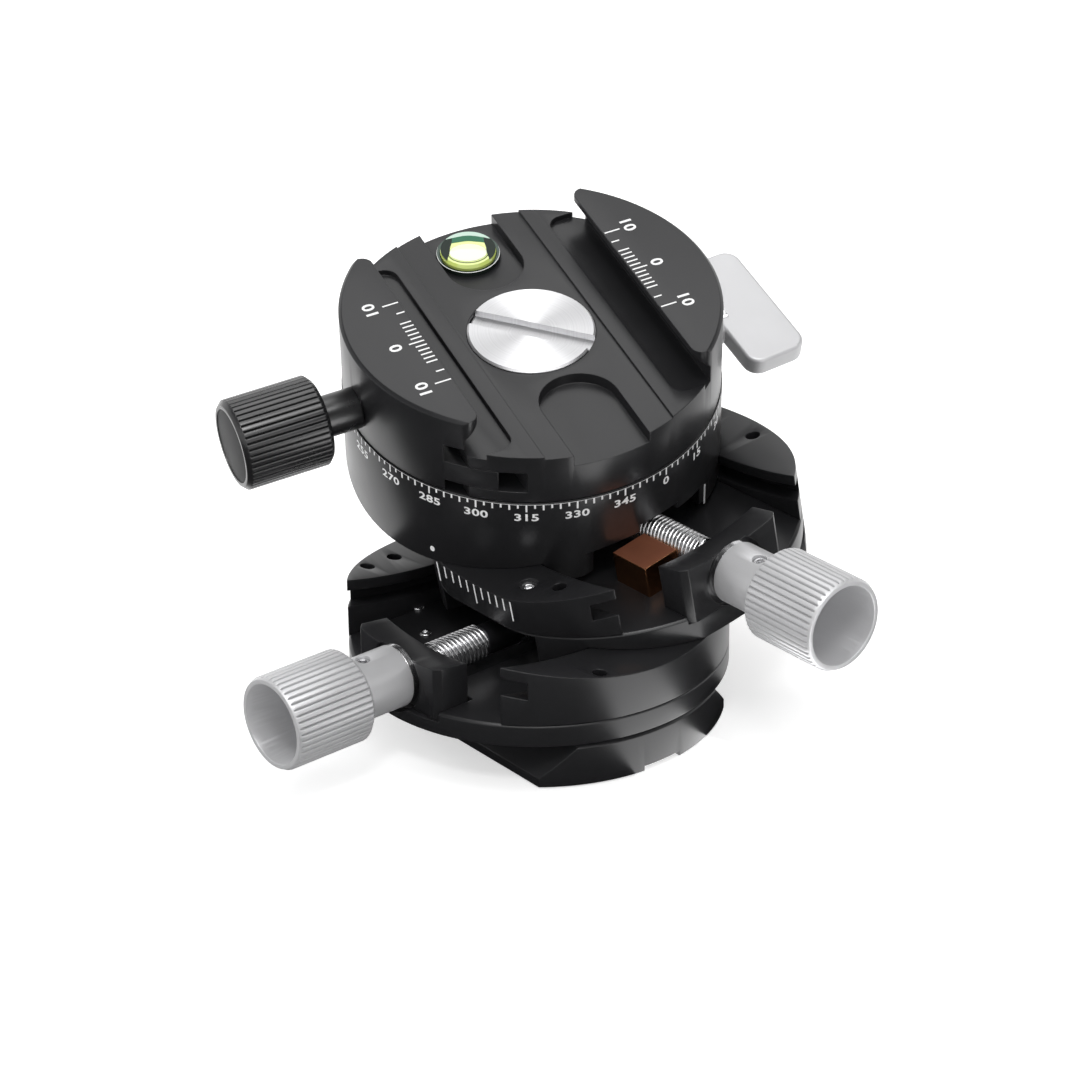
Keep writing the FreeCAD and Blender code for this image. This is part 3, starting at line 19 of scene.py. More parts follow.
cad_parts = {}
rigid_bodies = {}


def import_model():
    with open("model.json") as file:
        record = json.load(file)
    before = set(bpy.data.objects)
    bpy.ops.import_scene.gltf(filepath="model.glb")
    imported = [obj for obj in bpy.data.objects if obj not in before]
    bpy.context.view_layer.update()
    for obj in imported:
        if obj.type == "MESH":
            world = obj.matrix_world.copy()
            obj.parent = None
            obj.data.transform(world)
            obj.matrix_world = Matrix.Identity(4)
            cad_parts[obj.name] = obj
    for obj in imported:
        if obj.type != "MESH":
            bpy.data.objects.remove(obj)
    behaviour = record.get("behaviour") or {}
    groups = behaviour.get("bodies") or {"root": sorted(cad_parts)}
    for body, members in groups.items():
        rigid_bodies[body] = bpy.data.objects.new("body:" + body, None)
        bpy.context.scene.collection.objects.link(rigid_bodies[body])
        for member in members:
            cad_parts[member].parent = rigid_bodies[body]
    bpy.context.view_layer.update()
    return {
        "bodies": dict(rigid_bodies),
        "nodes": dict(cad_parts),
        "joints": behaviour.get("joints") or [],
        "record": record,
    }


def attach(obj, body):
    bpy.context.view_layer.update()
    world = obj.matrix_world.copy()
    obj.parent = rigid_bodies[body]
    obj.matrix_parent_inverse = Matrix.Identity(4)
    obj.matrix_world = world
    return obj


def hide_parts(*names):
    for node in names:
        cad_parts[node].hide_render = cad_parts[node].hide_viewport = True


Point = Tuple[float, float, float]
Colour = Tuple[float, float, float, float]
Surface = Callable[[float, float], Vector]
Radius = Union[float, Callable[[float, float], float]]
Inputs = Dict[Union[str, int], object]

LOG = logging.getLogger("tripod_head")
MM = 0.001
WHITE: Colour = (1.0, 1.0, 1.0, 1.0)


# Frames


class Stage(Enum):
    """The moving groups that the dressing rides on."""

    BASE = "base"
    LOWER_DRIVE = "lower_drive"
    MID = "mid_stage"
    UPPER_DRIVE = "upper_drive"
    TILT = "tilt_body"
    LOCK = "pan_lock"
    CLAMP = "clamp_disc"
    JAW = "movable_jaw"
    KNOB = "clamp_knob"


@dataclass(frozen=True)
class Geometry:
    """Where each stage stands in the photograph, in millimetres and degrees."""

    lower_centre: float = 106.6
    lower_tilt: float = 11.1
    upper_centre: float = 111.5
    upper_tilt: float = 13.0
    clamp_turn: float = 73.8
    lower_worm_z: float = 13.6
    upper_worm_z: float = 26.0

    def _about(self, height: float, axis: str, angle: float) -> Matrix:
        """Returns a turn about a level axis through the main axis at a height."""
        lift = Matrix.Translation((0.0, 0.0, height * MM))
        return lift @ Matrix.Rotation(math.radians(angle), 4, axis) @ lift.inverted()

    def mid(self) -> Matrix:
        """Returns the frame of the middle stage."""
        return self._about(self.lower_centre, "X", self.lower_tilt)

    def tilt(self) -> Matrix:
        """Returns the frame of the graduated body."""
        return self.mid() @ self._about(self.upper_centre, "Y", self.upper_tilt)

    def clamp(self) -> Matrix:
        """Returns the frame of the clamp: X across the jaws, Y along them."""
        return self.tilt() @ Matrix.Rotation(math.radians(self.clamp_turn), 4, "Z")

    def drive(self, stage: Matrix, outward: Point, height: float) -> Matrix:
        """Returns a frame whose Z runs out along a knob and whose Y points up.

        Args:
            stage: Frame of the stage that carries the knob.
            outward: Direction of the knob in that stage.
            height: Height of the knob's axis in millimetres.

        Returns:
            The frame of the knob.
        """
        out = Vector(outward)
        up = Vector((0.0, 0.0, 1.0))
        side = up.cross(out)
        turn = Matrix((side, up, out)).transposed().to_4x4()
        return stage @ Matrix.Translation((0.0, 0.0, height * MM)) @ turn


GEOMETRY = Geometry()


# Finishes


def feed(node: Node, inputs: Inputs) -> Node:
    """Sets or links the inputs of a node.

    Args:
        node: The node.
        inputs: A value to set or a socket to link, by the input's name or number.

    Returns:
        The node.
    """
    for label, value in inputs.items():
        if isinstance(value, NodeSocket):
            node.id_data.links.new(value, node.inputs[label])
        else:
            node.inputs[label].default_value = value
    return node


def add_node(tree: NodeTree, kind: str, inputs: Inputs,
             **settings: object) -> Node:
    """Adds a shader node to a tree.

    Args:
        tree: The node tree.
        kind: The node's type, without the words ShaderNode.
        inputs: What its inputs are fed.
        settings: Its other properties.

    Returns:
        The node.
    """
    node = tree.nodes.new("ShaderNode" + kind)
    for label, value in settings.items():
        setattr(node, label, value)
    return feed(node, inputs)


def add_math(tree: NodeTree, operation: str, *values: object,
             ) -> NodeSocket:
    """Returns the outcome of a math node, given a socket or number for each input."""
    return add_node(tree, "Math", dict(enumerate(values)), operation=operation).outputs[0]


class NodeGroups:
    """Shader node groups that several finishes share."""

    BROAD_SCALE = 160.0
    BROAD_DETAIL = 3.0
    FINE_DETAIL = 2.0
    NOISE_MIDDLE = 0.5
    RING_FLOOR = 0.9

    def __init__(self) -> None:
        """Builds every shared group once."""
        self.grain = self._make_grain()
        self.rings = self._make_rings()

    @staticmethod
    def _new(name: str, inputs: Dict[str, str], outputs: Dict[str, str],
             ) -> Tuple[NodeTree, Node, Node]:
        """Makes an empty group with its sockets.

        Args:
            name: Name of the group.
            inputs: Type of each input socket by its name.
            outputs: Type of each output socket by its name.

        Returns:
            The node tree, its input node and its output node.
        """
        tree = bpy.data.node_groups.new(name, "ShaderNodeTree")
        for way, sockets in (("INPUT", inputs), ("OUTPUT", outputs)):
            for label, kind in sockets.items():
                tree.interface.new_socket(label, in_out=way, socket_type="NodeSocket" + kind)
        return tree, tree.nodes.new("NodeGroupInput"), tree.nodes.new("NodeGroupOutput")

    @staticmethod
    def _tint(tree: NodeTree, colour: NodeSocket,
              shade: NodeSocket) -> NodeSocket:
        """Returns a colour made lighter or darker by a shade."""
        return add_node(tree, "VectorMath", {0: colour, "Scale": shade},
                        operation="SCALE").outputs[0]

    def _make_grain(self) -> NodeTree:
        """Returns a blasted grain: fine height, patchy roughness and shade."""
        tree, source, sink = self._new(
            "Blasted grain",
            {"Scale": "Float", "Roughness": "Float", "Spread": "Float", "Colour": "Color",
             "Mottle": "Float"},
            {"Colour": "Color", "Roughness": "Float", "Height": "Float"})
        given = source.outputs
        place = add_node(tree, "TexCoord", {}).outputs["Object"]
        fine = add_node(tree, "TexNoise", {"Vector": place, "Scale": given["Scale"],
                                           "Detail": self.FINE_DETAIL})
        broad = add_node(tree, "TexNoise", {"Vector": place, "Scale": self.BROAD_SCALE,
                                            "Detail": self.BROAD_DETAIL})
        centred = add_math(tree, "SUBTRACT", broad.outputs["Fac"], self.NOISE_MIDDLE)
        shade = add_math(tree, "MULTIPLY_ADD", centred, given["Mottle"], 1.0)
        feed(sink, {"Colour": self._tint(tree, given["Colour"], shade),
                    "Roughness": add_math(tree, "MULTIPLY_ADD", centred, given["Spread"],
                                          given["Roughness"]),
                    "Height": fine.outputs["Fac"]})
        return tree

    def _make_rings(self) -> NodeTree:
        """Returns turning marks: rings about the Z axis of the Vector's frame."""
        tree, source, sink = self._new(
            "Turning marks",
            {"Vector": "Vector", "Pitch": "Float", "Colour": "Color", "Depth": "Float"},
            {"Colour": "Color", "Height": "Float"})
        given = source.outputs
        apart = add_node(tree, "SeparateXYZ", {0: given["Vector"]}).outputs
        level = add_node(tree, "CombineXYZ", {"X": apart["X"], "Y": apart["Y"]})
        radius = add_node(tree, "VectorMath", {0: level.outputs[0]}, operation="LENGTH")
        turns = add_math(tree, "DIVIDE", radius.outputs["Value"], given["Pitch"])
        noise = add_node(tree, "TexNoise", {"W": turns, "Scale": 1.0,
                                            "Detail": self.FINE_DETAIL},
                         noise_dimensions="1D").outputs["Fac"]
        shade = add_math(tree, "MULTIPLY_ADD", noise, given["Depth"], self.RING_FLOOR)
        feed(sink, {"Colour": self._tint(tree, given["Colour"], shade), "Height": noise})
        return tree


def new_material(name: str) -> Tuple[Material, Node]:
    """Makes an empty node material.

    Args:
        name: Name of the material.

    Returns:
        The material and its Principled node.
    """
    material = bpy.data.materials.new(name)
    material.use_nodes = True
    return material, material.node_tree.nodes["Principled BSDF"]


@dataclass(frozen=True)
class GrainedFinish:
    """What blasted metal and plain surfaces share: a mottled, patchy grain."""

    name: str
    colour: Colour

    def _grained(self, groups: NodeGroups, **grain: float,
                 ) -> Tuple[Material, Node, NodeSocket]:
        """Makes a material whose colour and roughness come from the grain.

        Args:
            groups: The shared node groups.
            grain: What the grain's other inputs are set to.

        Returns:
            The material, its Principled node and the grain's height.
        """
        material, shader = new_material(self.name)
        given = add_node(material.node_tree, "Group", {"Colour": self.colour, **grain},
                         node_tree=groups.grain).outputs
        feed(shader, {"Base Color": given["Colour"], "Roughness": given["Roughness"]})
        return material, shader, given["Height"]


@dataclass(frozen=True)
class MetalFinish(GrainedFinish):
    """A blasted or anodised surface with a fine grain and softened edges."""

    metallic: float
    roughness: float
    spread: float
    mottle: float
    grain: float
    bump: float
    specular: float = 0.5
    edge: float = 0.22
    grain_depth: float = 0.00004
    edge_samples: int = 6

    def build(self, groups: NodeGroups) -> Material:
        """Returns the material, with its values set on the shader's sockets."""
        material, shader, height = self._grained(
            groups, Scale=self.grain, Roughness=self.roughness, Spread=self.spread,
            Mottle=self.mottle)
        tree = material.node_tree
        soft = add_node(tree, "Bevel", {"Radius": self.edge * MM}, samples=self.edge_samples)
        bump = add_node(tree, "Bump", {"Strength": self.bump, "Distance": self.grain_depth,
                                       "Height": height, "Normal": soft.outputs["Normal"]})
        feed(shader, {"Normal": bump.outputs["Normal"], "Metallic": self.metallic,
                      "Specular IOR Level": self.specular})
        return material


@dataclass(frozen=True)
class TurnedFinish:
    """A bright turned surface, its marks running round one axis."""

    name: str
    colour: Colour
    roughness: float
    pitch: float
    depth: float
    bump: float
    anisotropy: float
    ring_depth: float = 0.00002
    quarter_turn: float = 0.25

    def build(self, groups: NodeGroups, centre: Matrix) -> Material:
        """Builds the material.

        Args:
            groups: The shared node groups.
            centre: Frame whose Z axis the turning marks run round.

        Returns:
            The material.
        """
        material, shader = new_material(self.name)
        tree = material.node_tree
        inverse = centre.inverted()
        local = add_node(tree, "Mapping", {
            "Vector": add_node(tree, "TexCoord", {}).outputs["Object"],
            "Location": inverse.to_translation(), "Rotation": inverse.to_euler("XYZ")})
        rings = add_node(tree, "Group", {
            "Vector": local.outputs["Vector"], "Pitch": self.pitch, "Colour": self.colour,
            "Depth": self.depth}, node_tree=groups.rings).outputs
        bump = add_node(tree, "Bump", {"Strength": self.bump, "Distance": self.ring_depth,
                                       "Height": rings["Height"]})
        tangent = add_node(tree, "Tangent", {}, direction_type="UV_MAP")
        feed(shader, {"Base Color": rings["Colour"], "Normal": bump.outputs["Normal"],
                      "Metallic": 1.0, "Roughness": self.roughness,
                      "Anisotropic": self.anisotropy,
                      "Anisotropic Rotation": self.quarter_turn,
                      "Tangent": tangent.outputs["Tangent"]})
        return material


@dataclass(frozen=True)
class PlainFinish(GrainedFinish):
    """A smooth surface: print, moulded plastic or liquid."""

    roughness: float = 0.4
    metallic: float = 0.0
    coat: float = 0.0
    grain: float = 2500.0
    spread: float = 0.04
    mottle: float = 0.06

    def build(self, groups: NodeGroups) -> Material:
        """Returns the material."""
        material, shader, _ = self._grained(
            groups, Scale=self.grain, Roughness=self.roughness, Spread=self.spread,
            Mottle=self.mottle)
        feed(shader, {"Metallic": self.metallic, "Coat Weight": self.coat})
        return material


class Palette:
    """Every finish on the head."""

    def __init__(self, groups: NodeGroups) -> None:
        """Builds the materials."""
        g = groups
        self.black = MetalFinish("black_anodised", (0.017, 0.017, 0.0185, 1.0), 0.0, 0.31,
                                 0.08, 0.25, 5200.0, 0.10, 0.34).build(g)
        self.knob_black = MetalFinish("black_knob", (0.014, 0.014, 0.015, 1.0), 0.0, 0.28,
                                      0.08, 0.2, 5200.0, 0.08, 0.75).build(g)
        self.matt_black = MetalFinish("matt_black_cap", (0.020, 0.020, 0.021, 1.0), 0.0, 0.5,
                                      0.06, 0.2, 5200.0, 0.08, 0.12).build(g)
        self.grey = MetalFinish("blasted_grey", (0.58, 0.58, 0.59, 1.0), 0.30, 0.40,
                                0.08, 0.10, 6500.0, 0.18).build(g)
        self.wing = MetalFinish("wing_grey", (0.56, 0.56, 0.57, 1.0), 0.35, 0.42,
                                0.08, 0.10, 6500.0, 0.18).build(g)
        self.steel = MetalFinish("bright_steel", (0.72, 0.72, 0.73, 1.0), 1.0, 0.24,
                                 0.08, 0.06, 5000.0, 0.05).build(g)
        # Dark steel of the bushes. It is also the painted shade on the lower worm's plain stub.
        self.dark_steel = MetalFinish("dark_steel", (0.05, 0.05, 0.055, 1.0), 0.9, 0.4,
                                      0.08, 0.2, 5000.0, 0.08).build(g)
        self.brass = MetalFinish("milled_brass", (0.46, 0.21, 0.10, 1.0), 1.0, 0.26,
                                 0.06, 0.35, 3000.0, 0.06).build(g)
        self.shoe_top = MetalFinish("shoe_face", (0.36, 0.13, 0.07, 1.0), 0.55, 0.42,
                                    0.08, 0.5, 3000.0, 0.10).build(g)
        self.bronze = MetalFinish("sintered_bronze", (0.30, 0.19, 0.10, 1.0), 0.9, 0.5,
                                  0.1, 0.3, 3000.0, 0.2).build(g)
        # White print. The same white is also the painted highlight on the level's near rim and
        # part of the dial's top line.
        self.white = PlainFinish("white_print_and_painted_highlight", (0.93, 0.93, 0.93, 1.0), 0.5).build(g)
        self.cup = PlainFinish("level_cup_metal", (0.05, 0.07, 0.06, 1.0), 0.2, 0.8).build(g)
        self.fluid = PlainFinish("level_fluid", (0.72, 0.86, 0.22, 1.0), 0.08, 0.0, 1.0).build(g)
        self.bubble = PlainFinish("level_bubble", (0.92, 0.98, 0.72, 1.0), 0.06, 0.0, 1.0).build(g)
        # Print of the sighting circle. The same near-black is also the painted shade on the vial's
        # side walls.
        self.ring = PlainFinish("level_ring_and_painted_wall_shade", (0.002, 0.014, 0.007, 1.0), 0.75).build(g)
        # Painted shade: dark green for the shade on the vial's far inner wall.
        self.green = PlainFinish("level_far_painted_shade", (0.012, 0.15, 0.07, 1.0), 0.6).build(g)
        # Painted reflection: pale mint for the light caught by the vial's clear far wall.
        self.glass = PlainFinish("level_clear_painted_reflection", (0.42, 0.62, 0.50, 1.0), 0.1,
                                 0.0, 1.0).build(g)


# Mesh tools


def new_object(name: str, data: ID) -> Object:
    """Puts a mesh, text, camera or lamp in the scene and returns its object."""
    item = bpy.data.objects.new(name, data)
    bpy.context.scene.collection.objects.link(item)
    return item


def add_piece(name: str, mesh: Mesh, material: Material,
              stage: Stage) -> Object:
    """Puts a mesh in the scene and makes it ride on a stage.

    Args:
        name: Name of the piece.
        mesh: Its mesh, in the frame of the whole head.
        material: Its finish.
        stage: The stage that carries it.

    Returns:
        The new object.
    """
    piece = new_object(name, mesh)
    mesh.materials.clear()
    mesh.materials.append(material)
    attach(piece, stage.value)
    LOG.info("%s: %d faces", name, len(mesh.polygons))
    return piece


def mesh_from(name: str, points: Sequence[Vector], faces: Sequence[Sequence[int]],
              ) -> Mesh:
    """Makes a mesh.

    Args:
        name: Name of the mesh.
        points: Corners in metres.
        faces: Corner numbers of each face.

    Returns:
        The mesh.
    """
    mesh = bpy.data.meshes.new(name)
    mesh.from_pydata([tuple(p) for p in points], [], [tuple(f) for f in faces])
    mesh.validate()
    mesh.update()
    return mesh


def turned(frame: Matrix, rows: Sequence[Tuple[Radius, float]], around: int,
           ) -> Tuple[List[Vector], List[Sequence[int]]]:
    """Turns a profile about the Z axis of a frame, without end faces.

    Args:
        frame: The frame.
        rows: Radius and height of each ring in millimetres, a radius being a number
            or a function of height and angle.
        around: Corners in a ring.

    Returns:
        The corners, ring by ring, and the faces between the rings.
    """
    points: List[Vector] = []
    for radius, z in rows:
        for k in range(around):
            angle = k * math.tau / around
            r = radius(z, angle) if callable(radius) else radius
            local = Vector((r * math.cos(angle), r * math.sin(angle), z))
            points.append(frame @ (local * MM))
    faces: List[Sequence[int]] = []
    for row in range(len(rows) - 1):
        for k in range(around):
            a, b = row * around + k, row * around + (k + 1) % around
            faces.append((a, b, b + around, a + around))
    return points, faces


def flat(frame: Matrix, height: float) -> Surface:
    """Returns the surface that is level in a frame, at a height in millimetres."""
    return lambda u, v: frame @ (Vector((u, v, height)) * MM)


def drum(frame: Matrix, radius: float, start: float) -> Surface:
    """Returns a round wall: u runs along the arc from a start angle and v is height."""

    def point(u: float, v: float) -> Vector:
        """Returns the wall's point at u and v."""
        angle = u / radius + start
        return frame @ (Vector((radius * math.cos(angle), radius * math.sin(angle), v)) * MM)

    return point


def shade_by_angle(mesh: Mesh, degrees: float) -> None:
    """Shades a mesh smooth except over edges sharper than an angle."""
    mesh.polygons.foreach_set("use_smooth", [True] * len(mesh.polygons))
    work = bmesh.new()
    work.from_mesh(mesh)
    limit = math.radians(degrees)
    for edge in work.edges:
        if len(edge.link_faces) == 2:
            edge.smooth = edge.calc_face_angle(0.0) < limit
        else:
            edge.smooth = False
    work.to_mesh(mesh)
    work.free()


@dataclass
class SoftEdges:
    """Copies solid nodes with their sharp edges broken by a small bevel."""

    width: float = 0.20
    segments: int = 2
    profile: float = 0.6
    sharp: float = 32.0
    smooth: float = 28.0
    flat: float = 0.6
    weld: float = 1e-7

    def copy(self, node: Object, name: str, width: Optional[float] = None,
             ) -> Mesh:
        """Returns a bevelled copy of a node's mesh.

        Args:
            node: The solid's object.
            name: Name of the new mesh.
            width: Bevel width in millimetres, or None for the usual one.

        Returns:
            The mesh.
        """
        work = bmesh.new()
        work.from_mesh(node.data)
        bmesh.ops.remove_doubles(work, verts=work.verts, dist=self.weld)
        bmesh.ops.dissolve_limit(work, angle_limit=math.radians(self.flat), verts=work.verts,
                                 edges=work.edges, delimit={"NORMAL"})
        limit = math.radians(self.sharp)
        picked = [e for e in work.edges
                  if len(e.link_faces) == 2 and e.calc_face_angle(0.0) > limit]
        bmesh.ops.bevel(work, geom=picked, offset=(width or self.width) * MM,
                        offset_type="OFFSET", segments=self.segments, profile=self.profile,
                        affect="EDGES", clamp_overlap=True, harden_normals=False)
        mesh = bpy.data.meshes.new(name)
        work.to_mesh(mesh)
        work.free()
        shade_by_angle(mesh, self.smooth)
        return mesh


class Strokes:
    """Thin printed strokes and numerals, laid on a surface by a mapping."""

    CURVE_STEPS = 3
    WEIGHT = 0.026
    SPACING = 1.06

    def __init__(self, surface: Surface) -> None:
        """Keeps the surface that the strokes lie on."""
        self.surface = surface
        self.points: List[Vector] = []
        self.faces: List[List[int]] = []

    def bar(self, u0: float, u1: float, v0: float, v1: float, steps: int = 1) -> None:
        """Adds an upright bar from u0 to u1 across and v0 to v1 up."""
        for i in range(steps):
            a = u0 + (u1 - u0) * i / steps
            b = u0 + (u1 - u0) * (i + 1) / steps
            first = len(self.points)
            for u, v in ((a, v0), (b, v0), (b, v1), (a, v1)):
                self.points.append(self.surface(u, v))
            self.faces.append([first, first + 1, first + 2, first + 3])

    def shape(self, corners: Sequence[Tuple[float, float]]) -> None:
        """Adds one flat outline given by its corners."""
        first = len(self.points)
        self.points += [self.surface(u, v) for u, v in corners]
        self.faces.append(list(range(first, first + len(corners))))

    def text(self, words: str, u: float, v: float, height: float, stretch: float,
             turn: float = 0.0) -> None:
        """Adds numerals centred on a point.

        Args:
            words: The numerals.
            u: Centre across, in millimetres.
            v: Centre up, in millimetres.
            height: Height of a numeral in millimetres.
            stretch: Width of the whole text as a share of its natural width.
            turn: Turn in degrees.
        """
        curve = bpy.data.curves.new("numerals", "FONT")
        curve.body = words
        curve.align_x = "CENTER"
        curve.align_y = "CENTER"
        curve.size = 1.0
        curve.resolution_u = self.CURVE_STEPS
        curve.offset = self.WEIGHT
        curve.space_character = self.SPACING
        holder = new_object("numerals", curve)
        graph = bpy.context.evaluated_depsgraph_get()
        mesh = bpy.data.meshes.new_from_object(holder.evaluated_get(graph))
        xs = [p.co.x for p in mesh.vertices]
        ys = [p.co.y for p in mesh.vertices]
        centre, middle = (max(xs) + min(xs)) / 2, (max(ys) + min(ys)) / 2
        grow = height / (max(ys) - min(ys))
        c, s = math.cos(math.radians(turn)), math.sin(math.radians(turn))
        first = len(self.points)
        for vertex in mesh.vertices:
            x = (vertex.co.x - centre) * grow * stretch
            y = (vertex.co.y - middle) * grow
            self.points.append(self.surface(u + x * c - y * s, v + x * s + y * c))
        self.faces += [[first + i for i in polygon.vertices] for polygon in mesh.polygons]
        bpy.data.objects.remove(holder)
        bpy.data.meshes.remove(mesh)
        bpy.data.curves.remove(curve)

    def lay(self, name: str, material: Material, stage: Stage) -> None:
        """Makes everything added into one piece.

        Args:
            name: Name of the piece.
            material: Its finish.
            stage: The stage that carries it.
        """
        add_piece(name, mesh_from(name, self.points, self.faces), material, stage)


# Camera and studio


@dataclass(frozen=True)
class PhotoCamera:
    """The photograph's camera, in units of the dial's radius."""

    unit: float = 0.030
    focal_px: float = 3698.04
    image_px: float = 1080.0
    distance: float = 19.1049
    elevation: float = 0.4636
    azimuth: float = 0.878
    roll: float = -0.0112
    shift_right: float = 0.0115
    shift_up: float = -0.0824
    sensor: float = 36.0
    clip: Tuple[float, float] = (0.01, 20.0)

    def build(self) -> Object:
        """Returns the camera, set as the scene's own."""
        a, e = self.azimuth, self.elevation
        back = Vector((math.sin(a) * math.cos(e), -math.cos(a) * math.cos(e), math.sin(e)))
        right = Vector((math.cos(a), math.sin(a), 0.0))
        up = back.cross(right)
        c, s = math.cos(self.roll), math.sin(self.roll)
        across = right * c + up * s
        upward = up * c - right * s
        spot = (Vector((0.0, 0.0, 1.0)) + back * self.distance
                + across * self.shift_right + upward * self.shift_up) * self.unit
        data = bpy.data.cameras.new("photo_camera")
        data.sensor_width = self.sensor
        data.lens = self.focal_px * self.sensor / self.image_px
        data.clip_start, data.clip_end = self.clip
        camera = new_object("photo_camera", data)
        turn = Matrix((across, upward, back)).transposed().to_4x4()
        camera.matrix_world = Matrix.Translation(spot) @ turn
        bpy.context.scene.camera = camera
        return camera


@dataclass(frozen=True)
class Softbox:
    """One lamp, aimed at the head."""

    name: str
    place: Point
    size: Tuple[float, float]
    power: float
    mirrored: bool = True


@dataclass
class Studio:
    """Pale floor, even surroundings and soft lamps."""

    ambient: float = 0.62
    floor_glow: float = 0.50
    lamps: Tuple[Softbox, ...] = (
        Softbox("top_softbox", (-0.15, 0.15, 0.75), (0.55, 0.55), 1.5),
        Softbox("edge_softbox", (0.36, -0.30, 0.85), (0.20, 0.20), 1.5),
        Softbox("left_fill", (-0.50, -0.45, 0.20), (0.12, 0.60), 2.4, False),
        Softbox("right_strip", (0.42, 0.60, 0.20), (0.16, 0.60), 0.5),
    )
    # Sheets on the floor: bearings of both edges from +X in degrees, and glow
    sheets: Tuple[Tuple[float, float, float], ...] = (
        (-142.0, -10.0, 0.0), (-10.0, 22.0, 3.8), (22.0, 52.0, 0.0))
    sheet_reach: float = 1.4
    # Cards overhead: bearing, half width, low and high elevation, and glow
    cards: Tuple[Tuple[float, float, float, float, float], ...] = (
        (50.0, 48.0, 22.0, 78.0, 0.0), (230.0, 48.0, 22.0, 78.0, 0.0))
    # Bright band over the camera's side, which lights every broken edge
    edge_band: Tuple[float, float, float, float, float] = (-40.0, 78.0, 50.0, 72.0, 5.0)
    card_reach: float = 1.6
    card_gap: float = 0.1
    card_colour: Colour = (0.004, 0.004, 0.004, 1.0)
    fan_steps: int = 24
    floor_reach: float = 3.0
    floor_z: float = -0.0002
    sheet_z: float = -0.0001
    floor_grey: Colour = (0.9, 0.9, 0.9, 1.0)
    floor_roughness: float = 0.9
    aim: Point = (0.0, 0.0, 0.03)

    def _by_ray(self, lit: Node, seen: Node,
                sink: Node) -> None:
        """Splits what lights the head from what is seen.

        Args:
            lit: The shader for diffuse light.
            seen: The shader for camera, glossy and clear rays.
            sink: The output node.
        """
        tree = sink.id_data
        path = add_node(tree, "LightPath", {}).outputs
        mirrored = add_math(tree, "MAXIMUM", path["Is Camera Ray"], path["Is Glossy Ray"])
        mask = add_math(tree, "MAXIMUM", mirrored, path["Is Transmission Ray"])
        mix = add_node(tree, "MixShader", {0: mask, 1: lit.outputs[0], 2: seen.outputs[0]})
        feed(sink, {"Surface": mix.outputs[0]})

    def build(self) -> None:
        """Builds the world, the floor, the cards and the lamps."""
        scene = bpy.context.scene
        scene.view_settings.view_transform = "Standard"
        scene.world = bpy.data.worlds.new("studio")
        scene.world.use_nodes = True
        tree = scene.world.node_tree
        tree.nodes.clear()
        self._by_ray(
            add_node(tree, "Background", {"Color": WHITE, "Strength": self.ambient}),
            add_node(tree, "Background", {"Color": WHITE, "Strength": 1.0}),
            add_node(tree, "OutputWorld", {}))
        self._floor()
        self._cards()
        for lamp in self.lamps:
            self._lamp(lamp)

    def _floor(self) -> None:
        """Lays the pale floor under the foot."""
        r = self.floor_reach
        corners = [Vector((x, y, self.floor_z)) for x, y in ((-r, -r), (r, -r), (r, r), (-r, r))]
        floor = new_object("floor", mesh_from("floor", corners, [(0, 1, 2, 3)]))
        material, shader = new_material("pale_floor")
        feed(shader, {"Base Color": self.floor_grey, "Roughness": self.floor_roughness})
        tree = material.node_tree
        glow = add_node(tree, "Emission", {"Strength": self.floor_glow})
        seen = add_node(tree, "AddShader", {0: shader.outputs[0], 1: glow.outputs[0]})
        self._by_ray(shader, seen, tree.nodes["Material Output"])
        floor.data.materials.append(material)

    def _card(self, name: str, points: List[Vector], faces: List[Sequence[int]],
              glow: float) -> None:
        """Hangs one card that only reflections show.

        Args:
            name: Name of the card.
            points: Its corners.
            faces: Corner numbers of each face.
            glow: Its brightness, or zero for a dark card.
        """
        material, shader = new_material(name)
        feed(shader, {"Base Color": self.card_colour, "Roughness": 1.0,
                      "Specular IOR Level": 0.0, "Emission Color": WHITE,
                      "Emission Strength": glow})
        card = new_object(name, mesh_from(name, points, faces))
        card.data.materials.append(material)
        for ray in ("camera", "diffuse", "transmission", "shadow"):
            setattr(card, "visible_" + ray, False)

    def _cards(self) -> None:
        """Lays the floor sheets and hangs the dark cards beside the head."""
        steps = self.fan_steps
        for number, (start, end, glow) in enumerate(self.sheets):
            points = [Vector((0.0, 0.0, self.sheet_z))]
            for i in range(steps + 1):
                a = math.radians(start + (end - start) * i / steps)
                points.append(Vector((math.cos(a) * self.sheet_reach,
                                      math.sin(a) * self.sheet_reach, self.sheet_z)))
            self._card("floor_sheet_%d" % number, points,
                       [(0, i + 1, i + 2) for i in range(steps)], glow)
        cards = self.cards + (self.edge_band,)
        for number, (middle, half, low, high, glow) in enumerate(cards):
            reach = self.card_reach - self.card_gap * number
            points = []
            for i in range(steps + 1):
                a = math.radians(middle - half + 2 * half * i / steps)
                for e in (math.radians(low), math.radians(high)):
                    points.append(Vector((math.cos(a) * math.cos(e), math.sin(a) * math.cos(e),
                                          math.sin(e))) * reach)
            self._card("side_card_%d" % number, points,
                       [(2 * i, 2 * i + 1, 2 * i + 3, 2 * i + 2) for i in range(steps)], glow)

    def _lamp(self, lamp: Softbox) -> None:
        """Hangs one soft lamp that faces the head."""
        data = bpy.data.lights.new(lamp.name, "AREA")
        data.shape = "RECTANGLE"
        data.size, data.size_y = lamp.size
        data.energy = lamp.power
        light = new_object(lamp.name, data)
        light.location = lamp.place
        light.visible_glossy = lamp.mirrored
        aim = Vector(self.aim) - Vector(lamp.place)
        light.rotation_mode = "QUATERNION"
        light.rotation_quaternion = aim.to_track_quat("-Z", "Y")


# The head


